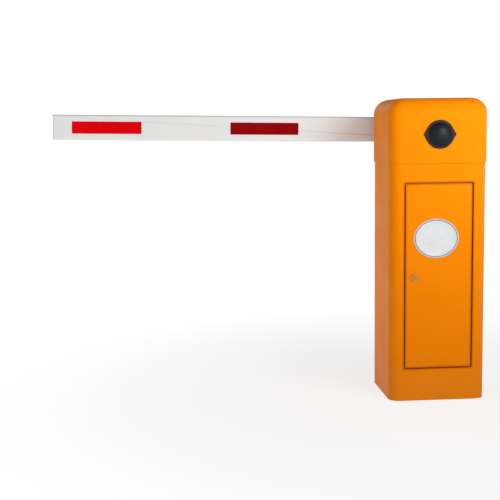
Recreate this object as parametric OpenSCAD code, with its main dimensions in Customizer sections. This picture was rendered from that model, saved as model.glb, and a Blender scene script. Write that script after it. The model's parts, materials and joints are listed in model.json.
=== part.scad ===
// Parking barrier gate: a sheet steel cabinet with a lift-off hood, a worm drive with a
// balanced lever inside, and a hollow boom that swings up behind the cabinet.
// Origin: middle of the base, on the ground. +X right, +Y to the back, +Z up.

/* [Cabinet] */
// Width of the cabinet body, outside
body_w = 322; // [310:1:400]
// Depth of the cabinet body, outside
body_d = 290; // [288:1:350]
// Sheet thickness of the body, the door and the door frame
wall = 2; // [1.5:0.1:2.4]
// Radius of the upright corners
corner_r = 35; // [20:1:42]
// Thickness of the base plate
base_t = 6; // [4:1:10]
// Distance between the anchor holes, left to right
anchor_x = 230; // [190:5:250]
// Distance between the anchor holes, front to back
anchor_y = 200; // [180:5:220]
// Diameter of the anchor holes
anchor_d = 14; // [10:1:18]

/* [Hood] */
// Height of the hood's lower edge
hood_z = 788; // [780:1:792]
// Overall height, to the top of the hood
total_h = 1000; // [996:1:1200]
// Sheet thickness of the hood
hood_wall = 2; // [1.5:0.1:3]
// Gap between the hood and the body
hood_gap = 1.5; // [1:0.1:3]
// How far the body reaches up inside the hood
hood_lap = 24; // [15:1:30]
// Radius of the hood's top edges
edge_r = 48; // [30:1:52]
// Radius of the black cap on the hood's front
cap_r = 46.5; // [40:0.5:60]
// How far the cap stands out
cap_h = 20; // [12:1:30]

/* [Door] */
// Width of the door opening
door_w = 230; // [190:1:236]
// Height of the door opening
door_h = 619; // [500:1:640]
// Height of the opening's lower edge
door_z = 107.5; // [60:0.5:120]
// Gap round the door
door_gap = 5; // [3.6:0.1:5]
// Height of the lock
lock_z = 414; // [300:1:600]
// Diameter of the lock's barrel
lock_d = 22; // [18:1:24]
// Width of the oval badge plate
badge_w = 150; // [80:1:170]
// Height of the oval badge plate
badge_h = 130; // [60:1:150]
// How far the badge's middle is above the door's
badge_up = 126; // [90:1:140]
// How far the badge sits to the left
badge_left = 9; // [0:1:25]

/* [Boom] */
// Length of the boom from the shaft to its tip
boom_len = 1275; // [900:5:3000]
// Length of the boom on the other side of the shaft
boom_butt = 120; // [112:1:160]
// Height of the boom's section
boom_h = 88; // [70:1:110]
// Depth of the boom's section
boom_t = 45; // [30:1:60]
// Wall thickness of the boom
boom_wall = 2; // [1.5:0.1:4]
// Height of the boom's centre line above the shaft
boom_rise = 14.5; // [8:0.5:30]
// How far the boom points up at rest, in degrees
boom_tilt = 1.1; // [0:0.1:2]
// Length of each reflector
reflector_l = 240; // [150:5:300]
// Height of each reflector
reflector_h = 42; // [30:1:60]
// Distance from the boom's tip to the first reflector
reflector_in = 65; // [20:5:200]
// Distance between the starts of two reflectors
reflector_step = 550; // [400:10:800]

/* [Mechanism] */
// Height of the boom's shaft
shaft_z = 882; // [870:1:890]
// Diameter of the boom's shaft
shaft_d = 30; // [24:1:36]
// Radius of the crank, and of the lever where the rod is pinned
crank_r = 60; // [45:1:66]
// Distance between the rod's two pins
rod_len = 240; // [225:1:260]
// Diameter of the rod's pins
rod_pin_d = 14; // [10:1:16]
// Radius of the lever where the springs pull
spring_r = 80; // [60:1:84]
// Height of the springs' lower hooks
spring_z = 534; // [500:1:560]
// Outside diameter of the springs
spring_d = 24; // [18:1:25]
// Thickness of the chassis plates
plate_t = 6; // [4:1:8]
// Height of the chassis shelf
shelf_z = 430; // [400:1:432]

/* [Drive] */
// Module of the worm gear
gear_m = 2; // [1.8:0.05:2.1]
// Teeth on the worm wheel
gear_teeth = 40; // [38:1:42]
// Pitch radius of the worm
worm_r = 12; // [11:0.5:14]
// Radius of the motor
motor_r = 44; // [36:1:46]
// Diameter of the gearbox's output shaft
output_d = 22; // [16:1:26]

/* [Hidden] */
$fn = 48;
fit = 0.05;          // radial clearance of a running fit
seat = 0.02;         // radial clearance of a seated ring
near = 0.3;          // gap between bodies that pass each other
side_x = body_w / 2;
front_y = -body_d / 2;
back_y = body_d / 2;
body_top = hood_z + hood_lap;
shaft_r = shaft_d / 2;
hood_out = hood_gap + hood_wall;
c45 = cos(45);

// door: a flush panel in the front wall, hung on pins just behind it
panel_w = door_w - 2 * door_gap;
panel_h = door_h - 2 * door_gap;
door_mid = door_z + door_h / 2;
door_r = 5;
pin_in = 5;                          // from the panel's hinge edge to the hinge line
pin_back = 6.5;                      // from the front face to the hinge line
hinge_x = panel_w / 2 - pin_in;
hinge_y = front_y + pin_back;
knuckle_r = 4;
hinge_pin_r = 2.5;
hinge_l = 26;
hinge_zs = [door_mid - door_h * 0.36, door_mid + door_h * 0.36];
seal_y = front_y + 13;               // front of the seal
seal_t = 3.5;
lip_y = seal_y + seal_t;
seal_w = 4.5;
lip_w = 16.5;
lock_x = -panel_w / 2 + 30;
lock_end = lip_y + wall + 1.5;
cam_t = 3;
cam_l = 30;
plug_r = lock_d / 2 - 3.5;

// depth stack of the mechanism, from the front plate to the springs
plate_y = front_y + 69;              // front plate, front face
gear_y = plate_y + plate_t;
gear_depth = 64;
cover_t = 6;
crank_y = gear_y + gear_depth + cover_t + 6;
crank_t = 10;
rod_y = crank_y + crank_t + 1;
rod_t = 8;
lever_y = rod_y + rod_t + 1;
lever_t = 12;
spring_ys = [lever_y + lever_t + 18, lever_y + lever_t + 44];
rear_y = back_y - 40;                // rear plate, front face
plate_top = shaft_z + 43;
chassis_x = 120;
bearing_t = 18;
bearing_r = shaft_r + 11;
bolt_r = 4;
pin_r = rod_pin_d / 2;
spring_pin_r = 6;
spring_x = spring_r * c45;
spring_top = shaft_z + spring_x;

// worm gearbox and motor
gear_z = shaft_z - rod_len;
rod_x = -crank_r * c45;
rod_z0 = gear_z - crank_r * c45;
rod_mid_y = rod_y + rod_t / 2;
rod_eye_r = pin_r + 6;
gear_r = gear_m * gear_teeth / 2;
worm_x = -(gear_r + worm_r);
worm_y = gear_y + 32;
pitch = PI * gear_m;
case_x0 = worm_x - worm_r - 16;
case_x1 = gear_r + 16;
case_h = gear_r + 12;
case_wall = 6;
case_z0 = gear_z - case_h;
output_r = output_d / 2;
wheel_t = 14;
motor_top = case_z0;
motor_low = shelf_z + 44;
motor_shaft_r = 6;
joint_z = motor_top - 5;

// boom holder, behind the hood
hub_y = back_y + hood_out + 3.5;
hub_l = 18;
flange_y = hub_y + hub_l;
flange_t = 10;
flange_r = shaft_r + 45;
web_y = flange_y + flange_t;
web_t = 4;
boom_y = web_y + web_t + 0.5;
boom_z = shaft_z + boom_rise;
boom_r = 7;
clamp_y = boom_y + boom_t + near;
cradle_x = boom_butt + 5;
cradle_h = boom_h / 2 + 0.8;
clamp_xs = [-cradle_x + 28, cradle_x - 28];
clamp_dz = boom_h / 4;
plug_t = 3;

// electrics
box_w = 200;
box_z = 140;
box_h = 240;
box_d = 90;
box_y = back_y - wall - box_d;
box_wall = 2;
entry_w = 100;
entry_d = 60;
entry_y = front_y + 60;

// ---- helpers -------------------------------------------------------------------------

module box(x0, x1, y0, y1, z0, z1) {
    translate([x0, y0, z0]) cube([x1 - x0, y1 - y0, z1 - z0]);
}

// rounded rectangle with true arcs, centred
module rounded(w, h, r) {
    square([w - 2 * r, h], center = true);
    square([w, h - 2 * r], center = true);
    for (x = [-1, 1], y = [-1, 1])
        translate([x * (w / 2 - r), y * (h / 2 - r)]) circle(r);
}

// a flat shape drawn in X and Z, between two depths
module slab(y0, y1) {
    translate([0, y1, 0]) rotate([90, 0, 0]) linear_extrude(y1 - y0) children();
}

// turned up about the main shaft, as the boom and its holder are
module tilted() translate([0, 0, shaft_z]) rotate([0, boom_tilt, 0])
    translate([0, 0, -shaft_z]) children();

// a flat shape drawn in Y and Z, between two places along X
module beam(x0, x1) {
    translate([x0, 0, 0]) rotate([90, 0, 90]) linear_extrude(x1 - x0) children();
}

module rod_along_y(r, y0, y1, x, z) {
    translate([x, y1, z]) rotate([90, 0, 0]) cylinder(r = r, h = y1 - y0);
}

module rod_along_z(r, z0, z1, x, y) {
    translate([x, y, z0]) cylinder(r = r, h = z1 - z0);
}

// hexagon head or nut along Y; across is its width across the flats
module hex_y(across, y0, y1, x, z) {
    translate([x, y1, z]) rotate([90, 0, 0])
        cylinder(r = across / sqrt(3), h = y1 - y0, $fn = 6);
}

module hex_z(across, z0, z1, x, y) {
    translate([x, y, z0]) cylinder(r = across / sqrt(3), h = z1 - z0, $fn = 6);
}

// bolt along Y with its head at y0 and, where nut is true, a nut at y1
module bolt_y(r, y0, y1, x, z, nut = false) {
    hex_y(r * 3.2, y0 - r * 1.3, y0, x, z);
    rod_along_y(r, y0 - 1, y1 + (nut ? r * 2 : 0), x, z);
    if (nut) hex_y(r * 3.2, y1, y1 + r * 1.6, x, z);
}

// plan of the cabinet, drawn inset from the body's outside
module plan(inset) {
    rounded(body_w - 2 * inset, body_d - 2 * inset, corner_r - inset);
}

// door outline, drawn larger than the opening by grow
module door_outline(grow) {
    translate([0, door_mid]) rounded(door_w + 2 * grow, door_h + 2 * grow, max(door_r + grow, 1));
}

// straight arm with round ends, from the origin outwards; tip and root are radii, and its
// flanks lie a hair inside the common tangents
module arm(length, root, tip) {
    a = acos((root - tip) / length);
    circle(root);
    translate([length, 0]) circle(tip);
    r0 = root * 0.99;
    r1 = tip * 0.99;
    polygon([[0, 0], [r0 * cos(a), r0 * sin(a)], [length + r1 * cos(a), r1 * sin(a)],
             [length, 0], [length + r1 * cos(a), -r1 * sin(a)], [r0 * cos(a), -r0 * sin(a)]]);
}

// ---- cabinet -------------------------------------------------------------------------

module cabinet_shell() color("orange") difference() {
    linear_extrude(body_top) difference() {
        plan(0);
        plan(wall);
    }
    slab(front_y - 1, front_y + wall + 1) door_outline(0);
}

module entry_outline(grow) {
    translate([0, entry_y]) rounded(entry_w + 2 * grow, entry_d + 2 * grow, 12 + grow);
}

module base_plate() color("dimgray") linear_extrude(base_t) difference() {
    plan(wall + near);
    for (x = [-1, 1], y = [-1, 1])
        translate([x * anchor_x / 2, y * anchor_y / 2]) circle(anchor_d / 2);
    entry_outline(0);
}

module cable_grommet() color("black") {
    linear_extrude(base_t) difference() {
        entry_outline(0);
        entry_outline(-3);
    }
    translate([0, 0, base_t]) linear_extrude(3) difference() {
        entry_outline(6);
        entry_outline(-3);
    }
}

module door_frame() color("darkorange") {
    slab(front_y + wall, lip_y + wall) difference() {
        door_outline(2 + wall);
        door_outline(2);
    }
    slab(lip_y, lip_y + wall) difference() {
        door_outline(2 + wall);
        door_outline(-lip_w);
    }
}

module door_seal() color("black") slab(seal_y, lip_y) difference() {
    door_outline(-door_gap);
    door_outline(-door_gap - seal_w);
}

module hinge_brackets() color("gray") for (z = hinge_zs) difference() {
    union() {
        for (side = [-1, 1])
            translate([hinge_x, hinge_y, z + side * (hinge_l / 2 + 2.2) - 2]) {
                cylinder(r = knuckle_r, h = 4);
                translate([-9, 0, 0]) cube([9, lip_y - hinge_y, 4]);
            }
        box(hinge_x - 9, hinge_x, lip_y - 2, lip_y, z - hinge_l / 2 - 4.2, z + hinge_l / 2 + 4.2);
    }
    rod_along_z(hinge_pin_r + seat, z - hinge_l, z + hinge_l, hinge_x, hinge_y);
}

module hinge_pins() color("silver") for (z = hinge_zs) {
    rod_along_z(hinge_pin_r, z - hinge_l / 2 - 6, z + hinge_l / 2 + 4.2, hinge_x, hinge_y);
    rod_along_z(hinge_pin_r + 1.2, z + hinge_l / 2 + 4.2, z + hinge_l / 2 + 6.2, hinge_x, hinge_y);
}

module slot_cover() color("orange") slab(back_y - wall - 2, back_y - wall) difference() {
    translate([0, shaft_z - 62]) rounded(140, 230, 10);
    translate([0, shaft_z]) circle(shaft_r + 4);
}

// ---- chassis -------------------------------------------------------------------------

module chassis_rails() color("gray") for (s = [-1, 1]) {
    x = s * (side_x - wall);
    inner = x - s * 36;
    box(min(x, x - s * 3), max(x, x - s * 3), front_y + 45, back_y - 45, shelf_z - 36, shelf_z);
    box(min(x, inner), max(x, inner), front_y + 45, back_y - 45, shelf_z - 3, shelf_z);
}

shelf_gap = 4;

module chassis_shelf() color("gray") difference() {
    translate([0, 0, shelf_z]) linear_extrude(plate_t) difference() {
        plan(wall + shelf_gap);
        translate([0, front_y]) square([body_w, 2 * (plate_y - front_y) - 72], center = true);
    }
    for (y = spring_ys) rod_along_z(5.5, shelf_z - 1, shelf_z + plate_t + 1, spring_x, y);
    rod_along_z(20, shelf_z - 1, shelf_z + plate_t + 1, -spring_x, back_y - 70);
    chassis_bolt_places() translate([0, 0, -20]) cylinder(r = bolt_r + 0.2, h = 40);
}

plate_z = shelf_z + plate_t;

// foot bolts of both plates, standing on the shelf
module chassis_bolt_places() {
    for (x = [-chassis_x + 16, chassis_x - 16], y = [plate_y - 16, rear_y + plate_t + 14])
        translate([x, y, plate_z]) children();
}

module plate_outline() {
    translate([0, (plate_z + plate_top) / 2]) rounded(2 * chassis_x, plate_top - plate_z, 12);
    translate([-chassis_x, plate_z]) square([2 * chassis_x, 20]);
}

module bearing_bolt_places() {
    for (x = [-1, 1], z = [-1, 1])
        translate([x * (bearing_r + 6), shaft_z + z * (bearing_r + 6)]) children();
}

module gearbox_bolt_places() {
    for (x = [case_x0 + 13, case_x1 - 13], z = [-1, 1])
        translate([x, gear_z + z * (case_h - 13)]) children();
}

module tie_places() {
    for (x = [-1, 1]) translate([x * (chassis_x - 14), shaft_z - 122]) children();
}

module chassis_front_plate() color("silver") difference() {
    union() {
        slab(plate_y, gear_y) plate_outline();
        box(-chassis_x, chassis_x, plate_y - 30, plate_y, plate_z, plate_z + 4);
    }
    slab(plate_y - 1, gear_y + 1) {
        translate([0, shaft_z]) circle(shaft_r + 6);
        bearing_bolt_places() circle(bolt_r + 0.2);
        gearbox_bolt_places() circle(bolt_r + 0.2);
        tie_places() circle(bolt_r + 0.2);
        translate([worm_x, (plate_z + motor_top) / 2 + 12.5])
            rounded(2 * motor_r + 8, motor_top - plate_z - 29, 10);
        translate([0, shaft_z - 112]) rounded(130, 60, 10);
    }
    chassis_bolt_places() translate([0, 0, -1]) cylinder(r = bolt_r + 0.2, h = 10);
}

module chassis_rear_plate() color("silver") difference() {
    union() {
        slab(rear_y, rear_y + plate_t) {
            plate_outline();
            translate([-10, shaft_z + 44]) rounded(70, 84, 12);
        }
        box(-chassis_x, chassis_x, rear_y, rear_y + plate_t + 26, plate_z, plate_z + 4);
    }
    slab(rear_y - 1, rear_y + plate_t + 1) {
        translate([0, shaft_z]) circle(shaft_r + 6);
        bearing_bolt_places() circle(bolt_r + 0.2);
        tie_places() circle(bolt_r + 0.2);
        translate([0, (plate_z + shaft_z) / 2 - 55]) rounded(136, 250, 14);
    }
    chassis_bolt_places() translate([0, 0, -1]) cylinder(r = bolt_r + 0.2, h = 10);
}

// two round spacers between the plates, each clamped by a bolt at either end
module tie_rods() {
    for (x = [-1, 1]) {
        px = x * (chassis_x - 14);
        pz = shaft_z - 122;
        rod_along_y(8, gear_y, rear_y, px, pz);
        rod_along_y(bolt_r, plate_y - 1, rear_y + plate_t + 1, px, pz);
        hex_y(13, plate_y - 6, plate_y, px, pz);
        hex_y(13, rear_y + plate_t, rear_y + plate_t + 6, px, pz);
    }
}

module foot_bolts() chassis_bolt_places() {
    translate([0, 0, -plate_t - 10]) cylinder(r = bolt_r, h = plate_t + 16);
    translate([0, 0, 4]) cylinder(r = 13 / sqrt(3), h = 5.5, $fn = 6);
    translate([0, 0, -plate_t - 6.5]) cylinder(r = 13 / sqrt(3), h = 6.5, $fn = 6);
}

// ---- bearings ------------------------------------------------------------------------

bearing_starts = [plate_y - bearing_t, rear_y + plate_t];

module bearing_housings() color("slategray") for (y = bearing_starts) difference() {
    union() {
        back = y < 0 ? plate_y - 10 : y;
        slab(back, back + 10) translate([0, shaft_z])
            rounded(2 * bearing_r + 32, 2 * bearing_r + 32, 14);
        rod_along_y(bearing_r + 6, y, y + bearing_t, 0, shaft_z);
    }
    rod_along_y(bearing_r + seat, y - 1, y + bearing_t + 1, 0, shaft_z);
    slab(y - 1, y + bearing_t + 1) bearing_bolt_places() circle(bolt_r + 0.2);
}

module bearing_outer_rings() color("lightgray") for (y = bearing_starts) {
    y0 = y + 2;
    y1 = y + bearing_t - 2;
    difference() {
        rod_along_y(bearing_r, y0, y1, 0, shaft_z);
        rod_along_y(bearing_r - 3.5, y0 + 1, y1 - 1, 0, shaft_z);
        rod_along_y(shaft_r + 4 + near, y0 - 1, y1 + 1, 0, shaft_z);
    }
}

module bearing_inner_rings() color("silver") for (y = bearing_starts) difference() {
    rod_along_y(shaft_r + 4, y + 2, y + bearing_t - 2, 0, shaft_z);
    rod_along_y(shaft_r + seat, y, y + bearing_t, 0, shaft_z);
}

module bearing_bolts() {
    for (x = [-1, 1], z = [-1, 1]) {
        px = x * (bearing_r + 6);
        pz = shaft_z + z * (bearing_r + 6);
        bolt_y(bolt_r, plate_y - 10, gear_y, px, pz, true);
        rod_along_y(bolt_r, rear_y - 8, rear_y + plate_t + 11, px, pz);
        hex_y(13, rear_y + plate_t + 10, rear_y + plate_t + 15.2, px, pz);
        hex_y(13, rear_y - 6.4, rear_y, px, pz);
    }
}

// ---- gearbox and motor ---------------------------------------------------------------

module case_outline() {
    translate([(case_x0 + case_x1) / 2, gear_z]) rounded(case_x1 - case_x0, 2 * case_h, 8);
}

module case_cavity() difference() {
    translate([(case_x0 + case_x1) / 2, gear_z])
        rounded(case_x1 - case_x0 - 2 * case_wall, 2 * (case_h - case_wall), 4);
    for (x = [case_x0, case_x1], z = [-1, 1])
        translate([x, gear_z + z * case_h]) square(38, center = true);
}

module gearbox_case() color("lightsteelblue") difference() {
    union() {
        difference() {
            slab(gear_y, gear_y + gear_depth) case_outline();
            slab(gear_y + case_wall, gear_y + gear_depth + 1) case_cavity();
        }
        rod_along_y(output_r + 7, gear_y + 1, gear_y + 16, 0, gear_z);
    }
    rod_along_y(output_r + fit, gear_y + 4, gear_y + 20, 0, gear_z);
    rod_along_z(motor_shaft_r + fit, gear_z, gear_z + case_h - 2, worm_x, worm_y);
    rod_along_z(12, case_z0 - 1, gear_z, worm_x, worm_y);
    slab(gear_y - 1, gear_y + 30) gearbox_bolt_places() circle(bolt_r);
}

module gearbox_cover() color("lightsteelblue") {
    y = gear_y + gear_depth;
    difference() {
        union() {
            slab(y, y + cover_t) case_outline();
            rod_along_y(output_r + 8, y, y + cover_t + 3, 0, gear_z);
        }
        rod_along_y(output_r + fit, y - 1, y + cover_t + 4, 0, gear_z);
        slab(y - 1, y + cover_t + 1) gearbox_bolt_places() circle(3.2);
    }
}

// mounting bolts from the front plate, and cover screws from the back
module gearbox_bolts() {
    y = gear_y + gear_depth + cover_t;
    for (x = [case_x0 + 13, case_x1 - 13], z = [-1, 1]) {
        pz = gear_z + z * (case_h - 13);
        bolt_y(bolt_r - seat, plate_y, gear_y + 28, x, pz);
        rod_along_y(5.5, y, y + 3, x, pz);
        rod_along_y(3, y - cover_t, y, x, pz);
    }
}

module chassis_fasteners() color("silver") {
    tie_rods();
    foot_bolts();
    bearing_bolts();
    gearbox_bolts();
}

module motor_case() color("darkslategray") {
    motor_shell();
    // stator pack, pressed into the shell
    difference() {
        rod_along_z(motor_r - 4 - seat, windings_z[0], windings_z[1], worm_x, worm_y);
        rod_along_z(motor_r - 15, windings_z[0] - 1, windings_z[1] + 1, worm_x, worm_y);
    }
}

module motor_shell() difference() {
    union() {
        rod_along_z(motor_r, motor_low, motor_top - 6, worm_x, worm_y);
        translate([worm_x, worm_y, motor_top - 6]) linear_extrude(6)
            rounded(2 * motor_r, 2 * motor_r - 26, 8);
        for (a = [20 : 20 : 360])
            translate([worm_x, worm_y, motor_low + 8]) rotate(a)
                translate([motor_r - 1, -1, 0]) cube([3.5, 2, motor_top - motor_low - 22]);
    }
    rod_along_z(motor_r - 4, motor_low - 1, motor_top - 10, worm_x, worm_y);
    rod_along_z(12, motor_low, motor_top + 1, worm_x, worm_y);
}

windings_z = [motor_low + 22, motor_top - 24];

module motor_end_bell() color("darkslategray") difference() {
    rod_along_z(motor_r, motor_low - 8, motor_low, worm_x, worm_y);
    rod_along_z(motor_shaft_r + fit, motor_low - 9, motor_low + 1, worm_x, worm_y);
}

module motor_rotor() color("lightgray") {
    rod_along_z(motor_r - 16, windings_z[0], windings_z[1], worm_x, worm_y);
    rod_along_z(motor_shaft_r, plate_z + 5, joint_z, worm_x, worm_y);
}

module handwheel() color("firebrick") difference() {
    rod_along_z(28, plate_z + 7, motor_low - 12, worm_x, worm_y);
    rod_along_z(motor_shaft_r + seat, plate_z, motor_low, worm_x, worm_y);
    for (a = [0 : 30 : 330])
        translate([worm_x, worm_y, plate_z]) rotate(a) translate([30, 0, 0]) cylinder(r = 4, h = 60);
}

// the thread is a round bar set off its axis and twisted once for each pitch
thread_turns = 6;

module worm() color("silver") {
    translate([worm_x, worm_y, gear_z - pitch * thread_turns / 2])
        linear_extrude(pitch * thread_turns, twist = -360 * thread_turns,
                       slices = 7 * thread_turns)
            translate([gear_m - 0.1, 0]) circle(worm_r - 0.1, $fn = 12);
    rod_along_z(motor_shaft_r, joint_z, gear_z + case_h - 3, worm_x, worm_y);
}

// ---- moving drive --------------------------------------------------------------------

// one wheel tooth, pointing along +X from the wheel's centre
module tooth() {
    root = gear_r - 1.15 * gear_m;
    polygon([[root - 1, -0.95 * gear_m], [gear_r, -0.55 * gear_m],
             [gear_r + 0.8 * gear_m, -0.22 * gear_m], [gear_r + 0.8 * gear_m, 0.22 * gear_m],
             [gear_r, 0.55 * gear_m], [root - 1, 0.95 * gear_m]]);
}

module worm_wheel() color("peru") slab(worm_y - wheel_t / 2, worm_y + wheel_t / 2)
    translate([0, gear_z]) difference() {
        union() {
            circle(gear_r - 1.15 * gear_m);
            for (k = [0 : gear_teeth - 1]) rotate((k + 0.5) * 360 / gear_teeth) tooth();
        }
        circle(output_r + seat);
        for (a = [0 : 60 : 300]) rotate(a) translate([gear_r * 0.62, 0]) circle(6);
    }

module output_shaft() color("silver") {
    rod_along_y(output_r, gear_y + 5, crank_y + crank_t + 2, 0, gear_z);
    rod_along_y(output_r + 5, gear_y + 16.5, worm_y - wheel_t / 2, 0, gear_z);
}

module crank_arm() color("slategray") difference() {
    union() {
        slab(crank_y, crank_y + crank_t)
            translate([0, gear_z]) rotate(225) arm(crank_r, output_r + 9, pin_r + 7);
        rod_along_y(output_r + 7, crank_y - 2, crank_y + crank_t + 1, 0, gear_z);
        rod_along_y(pin_r + 7, crank_y, crank_y + crank_t, rod_x, rod_z0);
    }
    rod_along_y(output_r + seat, crank_y - 3, crank_y + crank_t + 2, 0, gear_z);
    rod_along_y(pin_r + seat, crank_y - 1, crank_y + crank_t + 1, rod_x, rod_z0);
}

module crank_pin() color("silver") {
    rod_along_y(pin_r, crank_y - 3, rod_y + rod_t + 1, rod_x, rod_z0);
    rod_along_y(pin_r + 3, crank_y - 5, crank_y, rod_x, rod_z0);
    rod_along_y(pin_r + 3, rod_y + rod_t + near, rod_y + rod_t + 2 + near, rod_x, rod_z0);
}

// bar with an eye at each end; the upper eye is the open pivot, so it has more clearance
module connecting_rod() color("dimgray") difference() {
    union() {
        for (z = [rod_z0, rod_z0 + rod_len])
            rod_along_y(rod_eye_r, rod_y, rod_y + rod_t, rod_x, z);
        rod_along_z(rod_t / 2, rod_z0 + pin_r + 3, rod_z0 + rod_len - pin_r - 3, rod_x, rod_mid_y);
    }
    rod_along_y(pin_r + fit, rod_y - 1, rod_y + rod_t + 1, rod_x, rod_z0);
    rod_along_y(pin_r + 0.2, rod_y - 1, rod_y + rod_t + 1, rod_x, rod_z0 + rod_len);
}

// turnbuckle sleeve over the middle of the rod, with a lock nut at each end
module rod_sleeve() color("silver") difference() {
    union() {
        rod_along_z(7.5, rod_z0 + 50, rod_z0 + rod_len - 50, rod_x, rod_mid_y);
        hex_z(13, rod_z0 + 43, rod_z0 + 50, rod_x, rod_mid_y);
        hex_z(13, rod_z0 + rod_len - 50, rod_z0 + rod_len - 43, rod_x, rod_mid_y);
    }
    rod_along_z(rod_t / 2 + seat, rod_z0, rod_z0 + rod_len, rod_x, rod_mid_y);
}

lever_root = shaft_r + 13;
lever_tip = pin_r + 7;
lever_back = lever_y + lever_t;
hub_boss = 8;

module drive_lever() color("steelblue") difference() {
    union() {
        slab(lever_y, lever_back) translate([0, shaft_z]) {
            rotate(225) arm(crank_r, lever_root, lever_tip);
            rotate(45) arm(spring_r, lever_root, spring_pin_r + 8);
        }
        rod_along_y(shaft_r + 11, lever_y, lever_back + hub_boss, 0, shaft_z);
    }
    rod_along_y(shaft_r + seat, lever_y - 1, lever_back + hub_boss + 1, 0, shaft_z);
    rod_along_y(pin_r + seat, lever_y - 1, lever_back + 1, rod_x, shaft_z + rod_x);
    rod_along_y(spring_pin_r + seat, lever_y - 1, lever_back + 1, spring_x, spring_top);
    shaft_key(lever_y - 1, lever_back + hub_boss + 1, seat);
}

module lever_pins() color("silver") {
    z = shaft_z + rod_x;
    rod_along_y(pin_r, rod_y - 1, lever_back, rod_x, z);
    rod_along_y(pin_r + 3, rod_y - 3, rod_y - near, rod_x, z);
    rod_along_y(pin_r + 3, lever_back, lever_back + 3, rod_x, z);
    difference() {
        rod_along_y(spring_pin_r, lever_y - 2, spring_ys[1] + 10, spring_x, spring_top);
        for (y = spring_ys) slab(y - 2.5, y + 2.5) translate([spring_x, spring_top]) difference() {
            circle(spring_pin_r + 1);
            circle(spring_pin_r - 1.5);
        }
    }
    rod_along_y(spring_pin_r + 3, lever_y - 4, lever_y, spring_x, spring_top);
}

// ---- counterbalance and stops --------------------------------------------------------

eye_r = 9;
coil_z0 = spring_z + eye_r + 10;
coil_z1 = spring_top - spring_pin_r - 12;

// two tension springs, each a closed coil body with a flat tang at either end
module balance_springs() color("gray") for (y = spring_ys) {
    difference() {
        rod_along_z(spring_d / 2, coil_z0, coil_z1, spring_x, y);
        rod_along_z(spring_d / 2 - 3, coil_z0 + 3, coil_z1 - 3, spring_x, y);
    }
    box(spring_x - 4, spring_x + 4, y - 1.5, y + 1.5, spring_z + eye_r + near, coil_z0);
    box(spring_x - 4, spring_x + 4, y - 1.5, y + 1.5, coil_z1, spring_top - spring_pin_r - near);
}

// eye bolts that tension the springs, each held to the shelf by two nuts
module spring_bolts() color("silver") for (y = spring_ys) {
    difference() {
        rod_along_y(eye_r, y - 3, y + 3, spring_x, spring_z);
        rod_along_y(eye_r - 5, y - 4, y + 4, spring_x, spring_z);
    }
    rod_along_z(5, shelf_z - 28, spring_z - eye_r + 1, spring_x, y);
    for (z = [shelf_z - 8, plate_z]) difference() {
        hex_z(17, z, z + 8, spring_x, y);
        rod_along_z(5 + seat, z - 1, z + 9, spring_x, y);
    }
}

// each stop meets the flank of the lever's rod arm at one end of its swing
flank = asin((lever_root - lever_tip) / crank_r);
buffer_at = 40;
buffer_t = 14;
buffer_r = 9;
post_x = lever_root + near + buffer_t;

// X runs away from the flank; up is false for the stop with the boom down
module at_stop(up) {
    translate([0, 0, shaft_z]) {
        if (up) mirror([0, 0, 1]) rotate([0, 45 + flank, 0]) children();
        if (!up) rotate([0, 45 + flank, 0]) children();
    }
}

module buffer_posts() color("silver") for (up = [true, false]) at_stop(up)
    box(post_x, post_x + 2 * buffer_r, lever_y, rear_y, -buffer_at - buffer_r, -buffer_at + buffer_r);

module rubber_buffers() color("black") for (up = [true, false]) at_stop(up)
    translate([lever_root + near, lever_y + lever_t / 2, -buffer_at]) rotate([0, 90, 0])
        cylinder(r = buffer_r - 3, h = buffer_t);

// ---- shaft ---------------------------------------------------------------------------

// feather key on top of the shaft, drawn larger by grow for its keyway
module shaft_key(y0, y1, grow) {
    box(-4 - grow, 4 + grow, y0, y1, shaft_z + shaft_r - 4 - grow, shaft_z + shaft_r + 3 + grow);
}

key_spans = [[lever_y + 1, lever_back + hub_boss - 1], [hub_y + 1, flange_y + 6]];
shaft_end = flange_y + flange_t - 2;

module main_shaft() color("silver") difference() {
    rod_along_y(shaft_r, plate_y - bearing_t - 3, shaft_end, 0, shaft_z);
    for (span = key_spans) shaft_key(span[0], span[1], seat);
}

module shaft_keys() color("gray") for (span = key_spans) shaft_key(span[0], span[1], 0);

cam_ys = [gear_y + 12, gear_y + 24];
cam_w = 6;

// two discs clamped on the shaft, each with a flat that releases its switch
module limit_cams() color("white") for (i = [0, 1]) slab(cam_ys[i], cam_ys[i] + cam_w)
    translate([0, shaft_z]) rotate(i * 90) difference() {
        circle(shaft_r + 11);
        circle(shaft_r + seat);
        translate([-shaft_r - 16, 0]) square([16, 26], center = true);
    }

switch_x = shaft_r + 19 + near;

// two roller switches on a bent bracket
module limit_switches() color("midnightblue") {
    for (y = cam_ys) {
        box(switch_x, switch_x + 20, y - 2, y + 9, shaft_z - 24, shaft_z + 12);
        box(switch_x - 1.5, switch_x, y + 1, y + 5, shaft_z - 20, shaft_z + 2);
        rod_along_y(4, y + 1, y + 5, switch_x - 4, shaft_z);
    }
    x = switch_x + 20;
    box(x, x + 2, gear_y, cam_ys[1] + 10, shaft_z - 26, shaft_z + 14);
    box(x, x + 16, gear_y, gear_y + 2, shaft_z - 26, shaft_z + 14);
}

// ---- boom holder and boom ------------------------------------------------------------

module hub_bolt_places() {
    for (a = [45 : 90 : 315]) rotate(a) translate([shaft_r + 29, 0]) children();
}

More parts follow.
